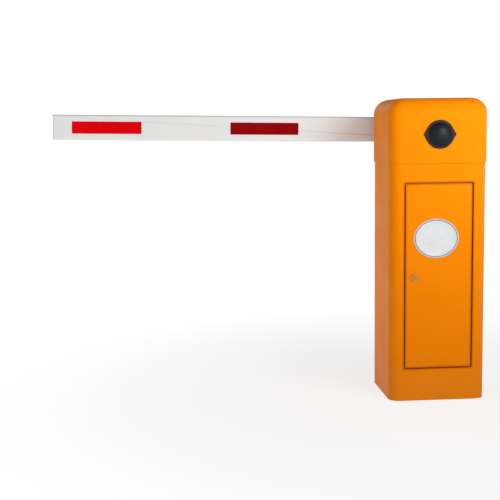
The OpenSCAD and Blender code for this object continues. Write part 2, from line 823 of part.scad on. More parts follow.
module hub_flange() color("gray") difference() {
    union() {
        rod_along_y(shaft_r + 19, hub_y, flange_y, 0, shaft_z);
        rod_along_y(flange_r, flange_y, web_y, 0, shaft_z);
    }
    rod_along_y(shaft_r + seat, hub_y - 1, web_y + 1, 0, shaft_z);
    shaft_key(hub_y - 1, flange_y + 8, seat);
    slab(flange_y - 1, web_y + 1) translate([0, shaft_z]) rotate(-boom_tilt)
        hub_bolt_places() circle(bolt_r + 0.2);
}

// channel that the boom lies in, with a tongue over the hub's flange
module boom_cradle() color("whitesmoke") tilted() difference() {
    union() {
        slab(web_y, web_y + web_t) {
            translate([0, boom_z]) square([2 * cradle_x, 2 * cradle_h + 8], center = true);
            translate([0, shaft_z - flange_r / 2]) square([2 * flange_r, flange_r], center = true);
        }
        for (s = [-1, 1]) {
            z = boom_z + s * (cradle_h + 2);
            box(-cradle_x, cradle_x, web_y, boom_y + boom_t - 2, z - 2, z + 2);
        }
    }
    slab(web_y - 1, web_y + web_t + 1) translate([0, shaft_z])
        hub_bolt_places() circle(bolt_r + 0.2);
    clamp_places() rotate([90, 0, 0]) cylinder(r = bolt_r + 0.2, h = 3 * clamp_y, center = true);
}

// where the clamp bolts cross the boom
module clamp_places() {
    for (x = clamp_xs, s = [-1, 1]) translate([x, 0, boom_z + s * clamp_dz]) children();
}

module clamp_plate() color("whitesmoke") tilted() difference() {
    slab(clamp_y, clamp_y + web_t) translate([0, boom_z]) rounded(2 * cradle_x, 2 * cradle_h + 8, 6);
    clamp_places() rotate([90, 0, 0]) cylinder(r = bolt_r + 0.2, h = 3 * clamp_y, center = true);
}

module boom_bolts() color("silver") tilted() {
    for (x = clamp_xs, s = [-1, 1]) {
        z = boom_z + s * clamp_dz;
        rod_along_y(bolt_r, web_y - 9, clamp_y + web_t + 1, x, z);
        hex_y(13, clamp_y + web_t, clamp_y + web_t + 5.5, x, z);
        hex_y(13, web_y - 6.5, web_y, x, z);
    }
    for (a = [45 : 90 : 315]) {
        x = (shaft_r + 29) * cos(a);
        z = shaft_z + (shaft_r + 29) * sin(a);
        rod_along_y(bolt_r, flange_y - 1, web_y + web_t, x, z);
        hex_y(13, flange_y - 5.5, flange_y, x, z);
    }
}

module boom_outline(inset) {
    translate([boom_y + boom_t / 2, boom_z])
        rounded(boom_t - 2 * inset, boom_h - 2 * inset, boom_r - inset);
}

module boom_tube() color("whitesmoke") tilted() difference() {
    beam(-boom_len + plug_t, boom_butt - plug_t) difference() {
        boom_outline(0);
        boom_outline(boom_wall);
    }
    clamp_places() rotate([90, 0, 0]) cylinder(r = bolt_r + 0.2, h = 3 * clamp_y, center = true);
}

// each end plug is a plate with a spigot inside the tube
module boom_plugs() color("gainsboro") tilted() {
    beam(-boom_len, -boom_len + plug_t) boom_outline(0);
    beam(boom_butt - plug_t, boom_butt) boom_outline(0);
    beam(-boom_len + plug_t, -boom_len + 25) boom_outline(boom_wall + 0.1);
    beam(boom_butt - 15, boom_butt - plug_t) boom_outline(boom_wall + 0.1);
}

// two on each face of the boom
module reflectors() color("red") tilted() for (k = [0, 1], y = [boom_y - 0.8, boom_y + boom_t]) {
    x = -boom_len + reflector_in + k * reflector_step + reflector_l / 2;
    slab(y, y + 0.8) translate([x, boom_z]) rounded(reflector_l, reflector_h, 1.5);
}

// ---- door ----------------------------------------------------------------------------

module door_panel() color("orange") difference() {
    union() {
        slab(front_y, front_y + wall) door_outline(-door_gap);
        slab(front_y + wall, seal_y - 0.2) difference() {
            door_outline(-door_gap);
            door_outline(-door_gap - wall);
            // no return along the hinge edge
            translate([hinge_x - 9, door_z - 1]) square([50, door_h + 2]);
        }
    }
    rod_along_y(lock_d / 2 + seat, front_y - 1, front_y + wall + 1, lock_x, lock_z);
}

module badge_plate() color("gainsboro") slab(front_y - 1.2, front_y)
    translate([-badge_left, door_mid + badge_up]) scale([badge_w / badge_h, 1])
        circle(badge_h / 2, $fn = 96);

module hinge_leaves() color("gray") for (z = hinge_zs) difference() {
    union() {
        rod_along_z(knuckle_r, z - hinge_l / 2, z + hinge_l / 2, hinge_x, hinge_y);
        box(hinge_x - 22, hinge_x, front_y + wall, front_y + wall + 2, z - hinge_l / 2, z + hinge_l / 2);
        box(hinge_x - 4, hinge_x, front_y + wall, hinge_y, z - hinge_l / 2, z + hinge_l / 2);
    }
    rod_along_z(hinge_pin_r + fit, z - hinge_l, z + hinge_l, hinge_x, hinge_y);
}

module lock_barrel() color("silver") difference() {
    union() {
        rod_along_y(lock_d / 2 + 3, front_y - 2.5, front_y, lock_x, lock_z);
        rod_along_y(lock_d / 2, front_y - 1, lock_end, lock_x, lock_z);
    }
    rod_along_y(plug_r + fit, front_y - 4, lock_end + 1, lock_x, lock_z);
}

module lock_nut() color("silver") difference() {
    hex_y(lock_d + 6, front_y + wall, front_y + wall + 5, lock_x, lock_z);
    rod_along_y(lock_d / 2 + seat, front_y, front_y + wall + 6, lock_x, lock_z);
}

module lock_plug() color("darkgray") difference() {
    rod_along_y(plug_r, front_y - 3, lock_end + cam_t + 4, lock_x, lock_z);
    box(lock_x - 0.8, lock_x + 0.8, front_y - 4, front_y + 4, lock_z - 4.5, lock_z + 4.5);
}

// the cam hangs down when unlocked and reaches behind the frame when turned
module lock_cam() color("goldenrod") difference() {
    union() {
        slab(lock_end + near, lock_end + near + cam_t)
            translate([lock_x, lock_z]) rotate(-90) arm(cam_l, plug_r + 3, 6);
        rod_along_y(plug_r + 2, lock_end + near, lock_end + near + cam_t + 2, lock_x, lock_z);
    }
    rod_along_y(plug_r + seat, lock_end, lock_end + 10, lock_x, lock_z);
}

// ---- hood ----------------------------------------------------------------------------

// one closed hood shape: upright walls, then a top edge that rounds over
hood_steps = 8;   // flats in a quarter turn
hood_turn = 90 / hood_steps;

function hood_ring(w, d, r, z) = [for (q = [0 : 3]) for (k = [0 : hood_steps])
    [(q == 0 || q == 3 ? 1 : -1) * (w / 2 - r) + r * cos(90 * q + hood_turn * k),
     (q < 2 ? 1 : -1) * (d / 2 - r) + r * sin(90 * q + hood_turn * k), z]];

module hood_solid(inset, low, high) {
    w = body_w + 2 * (hood_out - inset);
    d = body_d + 2 * (hood_out - inset);
    r = edge_r - inset;
    corner = corner_r + hood_out - inset;
    levels = concat([[0, low]], [for (k = [0 : hood_steps])
        [r * (1 - cos(hood_turn * k)), high - r + r * sin(hood_turn * k)]]);
    n = 4 * (hood_steps + 1);
    top = len(levels) - 1;
    polyhedron(
        points = [for (v = levels) each hood_ring(w - 2 * v[0], d - 2 * v[0], corner - v[0] * 0.45, v[1])],
        faces = concat(
            [[for (k = [0 : n - 1]) k], [for (k = [n - 1 : -1 : 0]) top * n + k]],
            [for (v = [0 : top - 1]) for (k = [0 : n - 1])
                [v * n + k, (v + 1) * n + k, (v + 1) * n + (k + 1) % n, v * n + (k + 1) % n]]));
}

module hood() color("orange") {
    difference() {
        hood_solid(0, hood_z, total_h);
        hood_solid(hood_wall, hood_z - 1, total_h - hood_wall);
        rod_along_y(cap_r - 10, front_y - 20, front_y + 20, 0, shaft_z);
        slab(back_y - 20, back_y + 20) {
            translate([0, shaft_z]) circle(shaft_r + 7);
            translate([0, shaft_z / 2]) square([2 * shaft_r + 14, shaft_z], center = true);
        }
    }
    // ledges that rest on the top of the body
    for (s = [-1, 1]) {
        x0 = s * (side_x + hood_gap);
        x1 = s * (side_x - 9);
        box(min(x0, x1), max(x0, x1), -60, 60, body_top + 0.2, body_top + 6.2);
    }
}

module cap_outline() {
    tip = cap_r * 1.15;
    a = acos(cap_r / tip);
    circle(cap_r);
    polygon([[tip, 0], [cap_r * cos(a), cap_r * sin(a)], [-cap_r * cos(a), cap_r * sin(a)],
             [-tip, 0], [-cap_r * cos(a), -cap_r * sin(a)], [cap_r * cos(a), -cap_r * sin(a)]]);
}

// black cover over the unused front shaft opening: flange, dome and spigot
module shaft_cap() color("black") {
    y = front_y - hood_out;
    dome_r = cap_r - 8;
    rise = cap_h - 5;
    ball = (dome_r * dome_r + rise * rise) / (2 * rise);
    slab(y - 5, y) translate([0, shaft_z]) cap_outline();
    translate([0, y - 5, shaft_z]) rotate([90, 0, 0]) intersection() {
        cylinder(r = dome_r, h = rise + 1);
        translate([0, 0, rise - ball]) sphere(r = ball);
    }
    slab(y, y + hood_wall + 8) translate([0, shaft_z]) difference() {
        circle(cap_r - 10.3);
        circle(cap_r - 13);
    }
}

// ---- electrics -----------------------------------------------------------------------

module control_box() color("lightgray") difference() {
    box(-box_w / 2, box_w / 2, box_y, box_y + box_d, box_z, box_z + box_h);
    box(-box_w / 2 + box_wall, box_w / 2 - box_wall, box_y - 1, box_y + box_d - box_wall,
        box_z + box_wall, box_z + box_h - box_wall);
    for (x = [-60, 0, 60]) rod_along_z(8, box_z - 1, box_z + 4, x, box_y + 40);
}

module control_lid() color("gainsboro") {
    slab(box_y - 3, box_y) translate([0, box_z + box_h / 2]) rounded(box_w + 6, box_h + 6, 5);
    for (x = [-1, 1], z = [-1, 1])
        rod_along_y(4, box_y - 6, box_y - 3, x * (box_w / 2 - 8), box_z + box_h / 2 + z * (box_h / 2 - 8));
}

board_y = box_y + box_d - box_wall - 10;

// board on its standoffs, with transformer, capacitor, relays and terminal strip
module circuit_board() color("green") {
    slab(board_y, board_y + 1.6) translate([0, box_z + box_h / 2]) rounded(box_w - 30, box_h - 40, 3);
    for (x = [-1, 1], z = [-1, 1])
        rod_along_y(3.5, board_y + 1.6, box_y + box_d - box_wall, x * (box_w / 2 - 24),
                    box_z + box_h / 2 + z * (box_h / 2 - 29));
    z = box_z + 30;
    box(-70, -10, board_y - 45, board_y, z + 110, z + 160);
    rod_along_y(18, board_y - 50, board_y, 40, z + 130);
    for (k = [0 : 3]) box(-70 + 38 * k, -44 + 38 * k, board_y - 20, board_y, z + 55, z + 80);
    box(-75, 75, board_y - 14, board_y, z, z + 18);
}

rail_y = -20;
rail_z = 250;

module din_rail() color("silver") {
    x = -side_x + wall;
    box(x, x + 1.5, rail_y - 60, rail_y + 60, rail_z - 13, rail_z + 13);
    for (s = [-1, 1]) {
        z = rail_z + s * 12.25;
        box(x, x + 7.5, rail_y - 60, rail_y + 60, z - 0.75, z + 0.75);
        box(x + 6.5, x + 7.5, rail_y - 60, rail_y + 60,
            rail_z + s * 15.25 - 2.25, rail_z + s * 15.25 + 2.25);
    }
}

module circuit_breaker() color("whitesmoke") {
    x = -side_x + wall + 7.5;
    box(x, x + 44, rail_y - 18, rail_y + 18, rail_z - 42, rail_z + 42);
    box(x + 44, x + 66, rail_y - 18, rail_y + 18, rail_z - 22, rail_z + 22);
    box(x + 66, x + 76, rail_y - 14, rail_y + 14, rail_z + 2, rail_z + 10);
}

// ---- build ---------------------------------------------------------------------------

cabinet_shell();
base_plate();
cable_grommet();
door_frame();
door_seal();
hinge_brackets();
hinge_pins();
slot_cover();
chassis_rails();
chassis_shelf();
chassis_front_plate();
chassis_rear_plate();
chassis_fasteners();
bearing_housings();
bearing_outer_rings();
gearbox_case();
gearbox_cover();
motor_case();
motor_end_bell();
buffer_posts();
rubber_buffers();
balance_springs();
spring_bolts();
limit_switches();
control_box();
control_lid();
circuit_board();
din_rail();
circuit_breaker();
hood();
shaft_cap();
door_panel();
badge_plate();
hinge_leaves();
lock_barrel();
lock_nut();
lock_plug();
lock_cam();
main_shaft();
shaft_keys();
bearing_inner_rings();
drive_lever();
lever_pins();
limit_cams();
hub_flange();
boom_cradle();
clamp_plate();
boom_bolts();
boom_tube();
boom_plugs();
reflectors();
output_shaft();
worm_wheel();
crank_arm();
crank_pin();
connecting_rod();
rod_sleeve();
worm();
motor_rotor();
handwheel();
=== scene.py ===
import json
import math

import bmesh
import bpy
from mathutils import Matrix, Vector

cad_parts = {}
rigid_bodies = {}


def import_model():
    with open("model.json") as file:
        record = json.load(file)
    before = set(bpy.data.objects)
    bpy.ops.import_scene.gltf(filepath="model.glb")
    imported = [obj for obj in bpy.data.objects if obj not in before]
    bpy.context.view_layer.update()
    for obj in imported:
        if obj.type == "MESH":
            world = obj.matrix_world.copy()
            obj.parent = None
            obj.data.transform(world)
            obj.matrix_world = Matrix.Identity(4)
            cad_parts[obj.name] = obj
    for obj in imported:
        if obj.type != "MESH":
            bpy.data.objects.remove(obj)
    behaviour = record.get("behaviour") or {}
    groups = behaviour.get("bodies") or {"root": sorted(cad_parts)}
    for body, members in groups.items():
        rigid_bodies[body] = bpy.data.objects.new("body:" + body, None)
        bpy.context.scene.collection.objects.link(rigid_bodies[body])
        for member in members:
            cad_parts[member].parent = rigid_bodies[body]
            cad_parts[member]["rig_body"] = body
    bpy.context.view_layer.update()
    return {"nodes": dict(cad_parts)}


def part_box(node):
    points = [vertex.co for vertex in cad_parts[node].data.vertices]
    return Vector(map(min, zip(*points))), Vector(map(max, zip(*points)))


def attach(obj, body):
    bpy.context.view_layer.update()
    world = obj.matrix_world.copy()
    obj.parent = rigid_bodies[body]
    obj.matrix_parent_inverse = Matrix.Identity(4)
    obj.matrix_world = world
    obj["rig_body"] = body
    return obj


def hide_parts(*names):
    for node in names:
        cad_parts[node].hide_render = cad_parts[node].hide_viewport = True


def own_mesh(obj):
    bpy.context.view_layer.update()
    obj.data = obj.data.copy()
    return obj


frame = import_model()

bl_info = {
    "name": "Parking barrier gate",
    "version": (1, 0, 0),
    "blender": (4, 5, 0),
    "location": "View3D > Sidebar > Barrier gate",
    "description": "Finished pieces of a parking barrier gate around its packed frame",
    "category": "Add Mesh",
}

MM = 0.001
WELD = 0.002 * MM          # corners closer than this are one corner
FLAT = math.radians(0.5)   # faces within this angle are one face
CREASE = math.radians(34)  # edges sharper than this are real edges
ON_FACE = 10 * WELD        # corners this near to a flat front belong to it
HEX = math.sqrt(0.75)      # row spacing of a honeycomb, as a share of its cell width
BOOM_TILT = 1.1            # degrees the boom points up at rest
GAP_CENTRE = 6.5 * MM      # from the door frame's outline in to the middle of the door gap
SPRING_FOOT = 0.534        # height of the eye bolts' eyes that hold the springs
SPRING_TOP = 0.93857       # height of the lever's spring pin while the boom is down
SENSOR = 36.0              # camera sensor width in mm
LENS = 73.81               # focal length in mm
CAMERA_PLACE = (-0.87799, -3.42904, 0.91061)
CAMERA_ANGLES = (4.4585, 6.7948, -0.7384)   # degrees to the right, down, and rolled
SKY_SEEN = 1.03            # brightness of the plain backdrop, just past white


def linear(code):
    """The linear RGBA of an sRGB hex colour."""
    parts = [int(code[i:i + 2], 16) / 255 for i in (1, 3, 5)]
    return [c / 12.92 if c <= 0.04045 else ((c + 0.055) / 1.055) ** 2.4 for c in parts] + [1.0]


# ---- sizes and colours a user would change ---------------------------------------------

class BARRIER_PG_sizes(bpy.types.PropertyGroup):
    edge_break: bpy.props.FloatProperty(
        name="Edge break", description="Size of the broken edges, as a share of their own size",
        default=1.0, min=0.1, max=2.0, subtype="FACTOR")
    spring_wire: bpy.props.FloatProperty(
        name="Spring wire", description="Diameter of the balance springs' wire",
        default=3.2 * MM, min=1 * MM, max=5 * MM, unit="LENGTH", subtype="DISTANCE")
    spring_pitch: bpy.props.FloatProperty(
        name="Spring pitch", description="Rise of one coil while the boom is down",
        default=4.6 * MM, min=4 * MM, max=12 * MM, unit="LENGTH", subtype="DISTANCE")
    fin_count: bpy.props.IntProperty(
        name="Motor fins", description="Number of cooling fins round the motor",
        default=30, min=8, max=60)
    fin_rise: bpy.props.FloatProperty(
        name="Fin height", description="How far the cooling fins stand out of the motor",
        default=2.2 * MM, min=0.5 * MM, max=3.5 * MM, unit="LENGTH", subtype="DISTANCE")
    cell_pitch: bpy.props.FloatProperty(
        name="Cell pitch", description="Width of one honeycomb cell of the reflective strips",
        default=6 * MM, min=3 * MM, max=12 * MM, unit="LENGTH", subtype="DISTANCE")
    cell_rise: bpy.props.FloatProperty(
        name="Cell height", description="How far a honeycomb cell stands up",
        default=0.12 * MM, min=0.02 * MM, max=0.5 * MM, unit="LENGTH", subtype="DISTANCE")


class BARRIER_PG_colours(bpy.types.PropertyGroup):
    cabinet: bpy.props.FloatVectorProperty(
        name="Cabinet", description="Powder coat of the cabinet, hood and door",
        default=linear("#E67E04"), size=4, min=0, max=1, subtype="COLOR")
    boom: bpy.props.FloatVectorProperty(
        name="Boom", description="Powder coat of the boom",
        default=linear("#E2E2DF"), size=4, min=0, max=1, subtype="COLOR")
    strips: bpy.props.FloatVectorProperty(
        name="Strips", description="Reflective strips on the boom",
        default=linear("#E0000B"), size=4, min=0, max=1, subtype="COLOR")
    # the cap's colour goes only on its dome, lighter and bluer than the black flange: a painted
    # reflection
    cap: bpy.props.FloatVectorProperty(
        name="Cap", description="Moulded cap over the spare shaft opening",
        default=linear("#10161D"), size=4, min=0, max=1, subtype="COLOR")


# ---- finishes --------------------------------------------------------------------------

def add(tree, kind, inputs=(), **settings):
    """One node, with its settings, and with numbers or links on its inputs."""
    made = tree.nodes.new(kind)
    for key, value in settings.items():
        setattr(made, key, value)
    for key, value in dict(inputs).items():
        if isinstance(value, bpy.types.NodeSocket):
            tree.links.new(value, made.inputs[key])
        else:
            made.inputs[key].default_value = value
    return made


def even_grain(tree, place, size):
    """Height of an even, fine texture such as cured powder or moulded skin."""
    return add(tree, "ShaderNodeTexNoise", {"Vector": place, "Scale": 1 / size, "Detail": 2.0,
                                            "Roughness": 0.45}).outputs["Fac"]


def cell_grain(tree, place, size):
    """Height of packed round cells such as sand casting or zinc crystals."""
    return add(tree, "ShaderNodeTexVoronoi", {"Vector": place, "Scale": 1 / size,
                                              "Randomness": 1.0}).outputs["Distance"]


def drawn_lines(stretch):
    """Height of lines drawn out along an axis, as by a die, a lathe or a brush."""
    def height(tree, place, size):
        along = add(tree, "ShaderNodeMapping", {"Vector": place, "Scale": stretch})
        return add(tree, "ShaderNodeTexNoise", {"Vector": along.outputs[0], "Scale": 1 / size,
                                                "Detail": 3.0}).outputs["Fac"]
    return height


def finish(name, tone, worn, rough, grain_mm, relief_mm, grain=even_grain, patch_mm=70,
           patch=0.5, spread=0.08, **shader):
    """A finish: tone with worn patches, uneven roughness, and a surface grain with real sizes."""
    material = bpy.data.materials.new(name)
    material.use_nodes = True
    tree = material.node_tree
    tree.nodes.clear()
    place = add(tree, "ShaderNodeTexCoord").outputs["Object"]
    cloud = add(tree, "ShaderNodeTexNoise", {"Vector": place, "Scale": 1 / (patch_mm * MM),
                                             "Detail": 4.0, "Roughness": 0.6}).outputs["Fac"]
    share = add(tree, "ShaderNodeMapRange", {"Value": cloud, "From Min": 0.38, "From Max": 0.68,
                                             "To Min": 0.0, "To Max": patch}).outputs[0]
    colour = add(tree, "ShaderNodeMix", {0: share, 6: tone, 7: worn},
                 data_type="RGBA").outputs[2]
    uneven = add(tree, "ShaderNodeMapRange", {"Value": cloud, "From Min": 0.3, "From Max": 0.7,
                                              "To Min": rough - spread,
                                              "To Max": rough + spread}).outputs[0]
    height = grain(tree, place, grain_mm * MM)
    bump = add(tree, "ShaderNodeBump", {"Height": height, "Strength": 1.0,
                                        "Distance": relief_mm * MM}).outputs[0]
    body = add(tree, "ShaderNodeBsdfPrincipled", {"Base Color": colour, "Roughness": uneven,
                                                  "Normal": bump, **shader})
    add(tree, "ShaderNodeOutputMaterial", {"Surface": body.outputs[0]})
    return material, tree, place, body


def overlay(tree, body, share, tone):
    """Lays another tone over a finish's colour, as much as share says."""
    socket = body.inputs["Base Color"]
    under = socket.links[0].from_socket
    over = add(tree, "ShaderNodeMix", {0: share, 6: under, 7: tone}, data_type="RGBA")
    tree.links.new(over.outputs[2], socket)


def orange_powder_coat(colours):
    # polyester powder coat on sheet steel: slight orange peel and a soft satin gloss,
    # with road dust on the lowest hand's breadth
    material, tree, place, body = finish(
        "orange powder coat", colours.cabinet, linear("#DA7404"), 0.48, 1.8, 0.035,
        patch_mm=160, patch=0.35, spread=0.05,
        **{"Specular IOR Level": 0.08, "Specular Tint": linear("#FFB060")})
    up = add(tree, "ShaderNodeSeparateXYZ", {0: place}).outputs["Z"]
    foot = add(tree, "ShaderNodeMapRange", {"Value": up, "From Min": 0.16, "From Max": 0.0,
                                            "To Min": 0.0, "To Max": 0.55}).outputs[0]
    specks = add(tree, "ShaderNodeTexNoise", {"Vector": place, "Scale": 1 / (9 * MM),
                                              "Detail": 5.0}).outputs["Fac"]
    dust = add(tree, "ShaderNodeMath", {0: foot, 1: specks}, operation="MULTIPLY").outputs[0]
    overlay(tree, body, dust, linear("#B87A36"))
    # painted shade: the coat is painted darker towards the bottom, where less light falls on it
    shade = add(tree, "ShaderNodeMapRange", {"Value": up, "From Min": 0.75, "From Max": 0.05,
                                             "To Min": 0.0, "To Max": 0.4}).outputs[0]
    overlay(tree, body, shade, linear("#D87203"))
    # painted shade along both lips of the door gap, on the front only: a darker band where the
    # gap's edges fall into shade
    low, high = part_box("door_frame")
    half = (high - low) / 2 - Vector((1, 1, 1)) * GAP_CENTRE
    off = add(tree, "ShaderNodeVectorMath", {0: place, 1: (low + high) / 2},
              operation="SUBTRACT").outputs[0]
    off = add(tree, "ShaderNodeVectorMath", {0: off}, operation="ABSOLUTE").outputs[0]
    off = add(tree, "ShaderNodeVectorMath", {0: off, 1: half}, operation="SUBTRACT").outputs[0]
    off = add(tree, "ShaderNodeSeparateXYZ", {0: off}).outputs
    far = add(tree, "ShaderNodeMath", {0: off["X"], 1: off["Z"]}, operation="MAXIMUM").outputs[0]
    far = add(tree, "ShaderNodeMath", {0: far}, operation="ABSOLUTE").outputs[0]
    painted_gap_shade = add(tree, "ShaderNodeMapRange", {"Value": far, "From Min": 5 * MM, "From Max": 9 * MM,
                                           "To Min": 0.75, "To Max": 0.0}).outputs[0]
    deep = add(tree, "ShaderNodeSeparateXYZ", {0: place}).outputs["Y"]
    front = add(tree, "ShaderNodeMath", {0: deep, 1: high.y}, operation="LESS_THAN").outputs[0]
    painted_gap_shade = add(tree, "ShaderNodeMath", {0: painted_gap_shade, 1: front}, operation="MULTIPLY").outputs[0]
    # the darker orange laid here is painted shade round the gap
    overlay(tree, body, painted_gap_shade, linear("#C06408"))
    # painted light on what lies inside the gap: a lighter orange, so the gap's depth reads less
    # dark than its shade
    painted_gap_light = add(tree, "ShaderNodeMath", {0: deep, 1: low.y + 2 * MM},
                 operation="GREATER_THAN").outputs[0]
    near = add(tree, "ShaderNodeMath", {0: far, 1: 4.2 * MM}, operation="LESS_THAN").outputs[0]
    painted_gap_light = add(tree, "ShaderNodeMath", {0: painted_gap_light, 1: near}, operation="MULTIPLY").outputs[0]
    painted_gap_light = add(tree, "ShaderNodeMath", {0: painted_gap_light, 1: front}, operation="MULTIPLY").outputs[0]
    overlay(tree, body, painted_gap_light, linear("#FFA528"))
    return material


def boom_white(colours):
    # white powder coat on extruded aluminium: smooth, with faint die lines along the boom
    return finish("white coat on extrusion", colours.boom, linear("#DADBDC"), 0.38, 1.1, 0.03,
                  grain=drawn_lines((0.02, 1, 1)), patch_mm=220, patch=0.6, spread=0.05,
                  **{"Coat Weight": 0.2, "Coat Roughness": 0.25})[0]


def white_powder_coat(colours):
    # white powder coat on laser-cut steel: fine peel, a little grime round the bolts
    return finish("white coat on plate", linear("#D6D6D4"), linear("#B9B8B3"), 0.42, 1.6, 0.035,
                  patch_mm=35, patch=0.5)[0]


def zinc_steel(colours):
    # bright zinc plate with a clear passivate: small crystals and a faint yellow and blue cast
    material, tree, place, body = finish(
        "zinc-plated steel", linear("#B3B4B2"), linear("#A8A48F"), 0.36, 3.2, 0.02,
        grain=cell_grain, patch_mm=26, patch=0.8, spread=0.1, Metallic=1.0)
    tint = add(tree, "ShaderNodeTexNoise", {"Vector": place, "Scale": 1 / (14 * MM),
                                            "Detail": 1.0}).outputs["Fac"]
    share = add(tree, "ShaderNodeMapRange", {"Value": tint, "From Min": 0.5, "From Max": 0.72,
                                             "To Min": 0.0, "To Max": 0.5}).outputs[0]
    overlay(tree, body, share, linear("#9DA7B4"))
    return material


def machined_steel(colours):
    # turned and ground steel: fine rings round the shaft and a clean bright gloss
    return finish("turned steel", linear("#BFC0C3"), linear("#A5A6AA"), 0.24, 0.9, 0.012,
                  grain=drawn_lines((0.05, 1.0, 0.05)), patch_mm=20, patch=0.4, spread=0.06,
                  Metallic=1.0)[0]


def spring_steel(colours):
    # oiled spring wire: dark, with the straw and blue of its heat treatment
    return finish("oiled spring wire", linear("#6C6B6C"), linear("#4A4C55"), 0.3, 0.8, 0.015,
                  patch_mm=8, patch=0.8, Metallic=1.0)[0]


def nickel_plate(colours):
    # worn nickel on the lock: brass shows through, faintly brushed round
    return finish("worn nickel plate", linear("#CC8C42"), linear("#B07636"), 0.4, 0.7, 0.012,
                  patch_mm=6, patch=0.5, Metallic=1.0)[0]


def wheel_bronze(colours):
    # cast bronze, machined: warm, with brown oil in the teeth
    return finish("machined bronze", linear("#C29350"), linear("#7C5A2C"), 0.3, 0.9, 0.015,
                  patch_mm=7, patch=0.7, Metallic=1.0)[0]


def cast_housing(colours):
    # grey enamel over sand-cast iron: the casting's grain shows through the paint
    return finish("enamelled casting", linear("#6B747C"), linear("#555D64"), 0.42, 2.4, 0.16,
                  grain=cell_grain, patch_mm=45, patch=0.7)[0]


def motor_enamel(colours):
    # dark stoving enamel on a die-cast shell: low, even gloss with dust in the corners
    return finish("dark stoving enamel", linear("#2A3036"), linear("#3A3C3D"), 0.38, 1.5, 0.05,
                  patch_mm=30, patch=0.7, **{"Coat Weight": 0.3, "Coat Roughness": 0.3})[0]


def black_rubber(colours):
    # moulded rubber: matt, with the grey bloom it gets outdoors
    return finish("moulded rubber", linear("#1C1B1A"), linear("#33312E"), 0.72, 1.2, 0.06,
                  patch_mm=18, patch=0.7)[0]


def black_plastic(colours):
    # moulded ABS: fine spark-eroded grain and a broad soft highlight; the dome is painted a
    # lighter blue-black than its flange, a painted reflection of the surroundings
    material, tree, place, body = finish(
        "black ABS", linear("#0B0B0D"), linear("#141417"), 0.46, 0.9, 0.04,
        patch_mm=24, patch=0.6, spread=0.05, **{"Specular IOR Level": 0.16})
    # painted reflection: the cap's colour is laid over the dome only, lighter and bluer than the
    # flange
    out = add(tree, "ShaderNodeSeparateXYZ", {0: place}).outputs["Y"]
    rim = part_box("hood")[0].y - 5 * MM
    dome = add(tree, "ShaderNodeMapRange", {"Value": out, "From Min": rim - 0.2 * MM,
                                            "From Max": rim - 1.2 * MM, "To Min": 0.0,
                                            "To Max": 1.0}).outputs[0]
    overlay(tree, body, dome, colours.cap)
    return material


def switch_plastic(colours):
    # glass-filled nylon: dark blue, slightly mottled by its fibres
    return finish("glass-filled nylon", linear("#262B40"), linear("#3B4056"), 0.5, 0.8, 0.04,
                  grain=drawn_lines((1, 1, 0.2)), patch_mm=5, patch=0.6)[0]


def grey_plastic(colours):
    # moulded polycarbonate box: pale grey with a fine leathery grain
    return finish("grey polycarbonate", linear("#A9ABAC"), linear("#9A9C9C"), 0.45, 1.6, 0.07,
                  grain=cell_grain, patch_mm=60, patch=0.6)[0]


def white_plastic(colours):
    # urea moulding of a switch body: hard, smooth, slightly cream
    return finish("white urea moulding", linear("#E3E1DA"), linear("#D3CFC3"), 0.33, 1.0, 0.02,
                  patch_mm=20, patch=0.6)[0]


def plug_plastic(colours):
    # moulded polyethylene plug: waxy and slightly translucent-looking grey-white
    return finish("polyethylene", linear("#CFCFCC"), linear("#BDBDB9"), 0.5, 1.4, 0.05,
                  patch_mm=20, patch=0.6, **{"Sheen Weight": 0.15})[0]


def red_plastic(colours):
    # glossy phenolic grip: deep red with hand wear
    return finish("red phenolic", linear("#A91712"), linear("#7E1410"), 0.3, 1.0, 0.02,
                  patch_mm=10, patch=0.7, **{"Coat Weight": 0.3})[0]


def board_green(colours):
    # solder mask over copper tracks: green gloss, lighter over the tracks
    material, tree, place, body = finish(
        "solder mask", linear("#12602F"), linear("#0C4A23"), 0.3, 1.0, 0.02,
        patch_mm=12, patch=0.6, **{"Coat Weight": 0.4})
    tracks = add(tree, "ShaderNodeTexBrick", {"Vector": place, "Scale": 1 / (12 * MM),
                                              "Color1": (1, 1, 1, 1), "Color2": (1, 1, 1, 1),
                                              "Mortar": (0, 0, 0, 1), "Mortar Size": 0.06})
    share = add(tree, "ShaderNodeMapRange", {"Value": tracks.outputs["Color"], "From Min": 1.0,
                                             "From Max": 0.0, "To Min": 0.0,
                                             "To Max": 0.5}).outputs[0]
    overlay(tree, body, share, linear("#2F8A4A"))
    return material


def badge_enamel(colours):
    # anodised aluminium plate, plain: pale, brushed across, no print
    return finish("anodised plate", linear("#B9BABC"), linear("#AAABAE"), 0.4, 0.8, 0.015,
                  grain=drawn_lines((0.03, 1, 1)), patch_mm=25, patch=0.5,
                  Metallic=0.25)[0]


def red_reflective(colours):
    # microprismatic sheet: clear gloss face over deep red cells
    material, tree, place, body = finish(
        "reflective sheet", colours.strips, linear("#C20009"), 0.3, 5.0, 0.02,
        patch_mm=90, patch=0.4, spread=0.04,
        **{"Specular IOR Level": 0.3, "Specular Tint": linear("#FF4040")})
    # painted shade: the strip nearer the cabinet is painted a darker red than the outer one
    along = add(tree, "ShaderNodeSeparateXYZ", {0: place}).outputs["X"]
    inner_strip_painted_shade = add(tree, "ShaderNodeMapRange", {"Value": along, "From Min": -0.86,
                                             "From Max": -0.76, "To Min": 0.0,
                                             "To Max": 1.0}).outputs[0]
    overlay(tree, body, inner_strip_painted_shade, linear("#850508"))
    return material


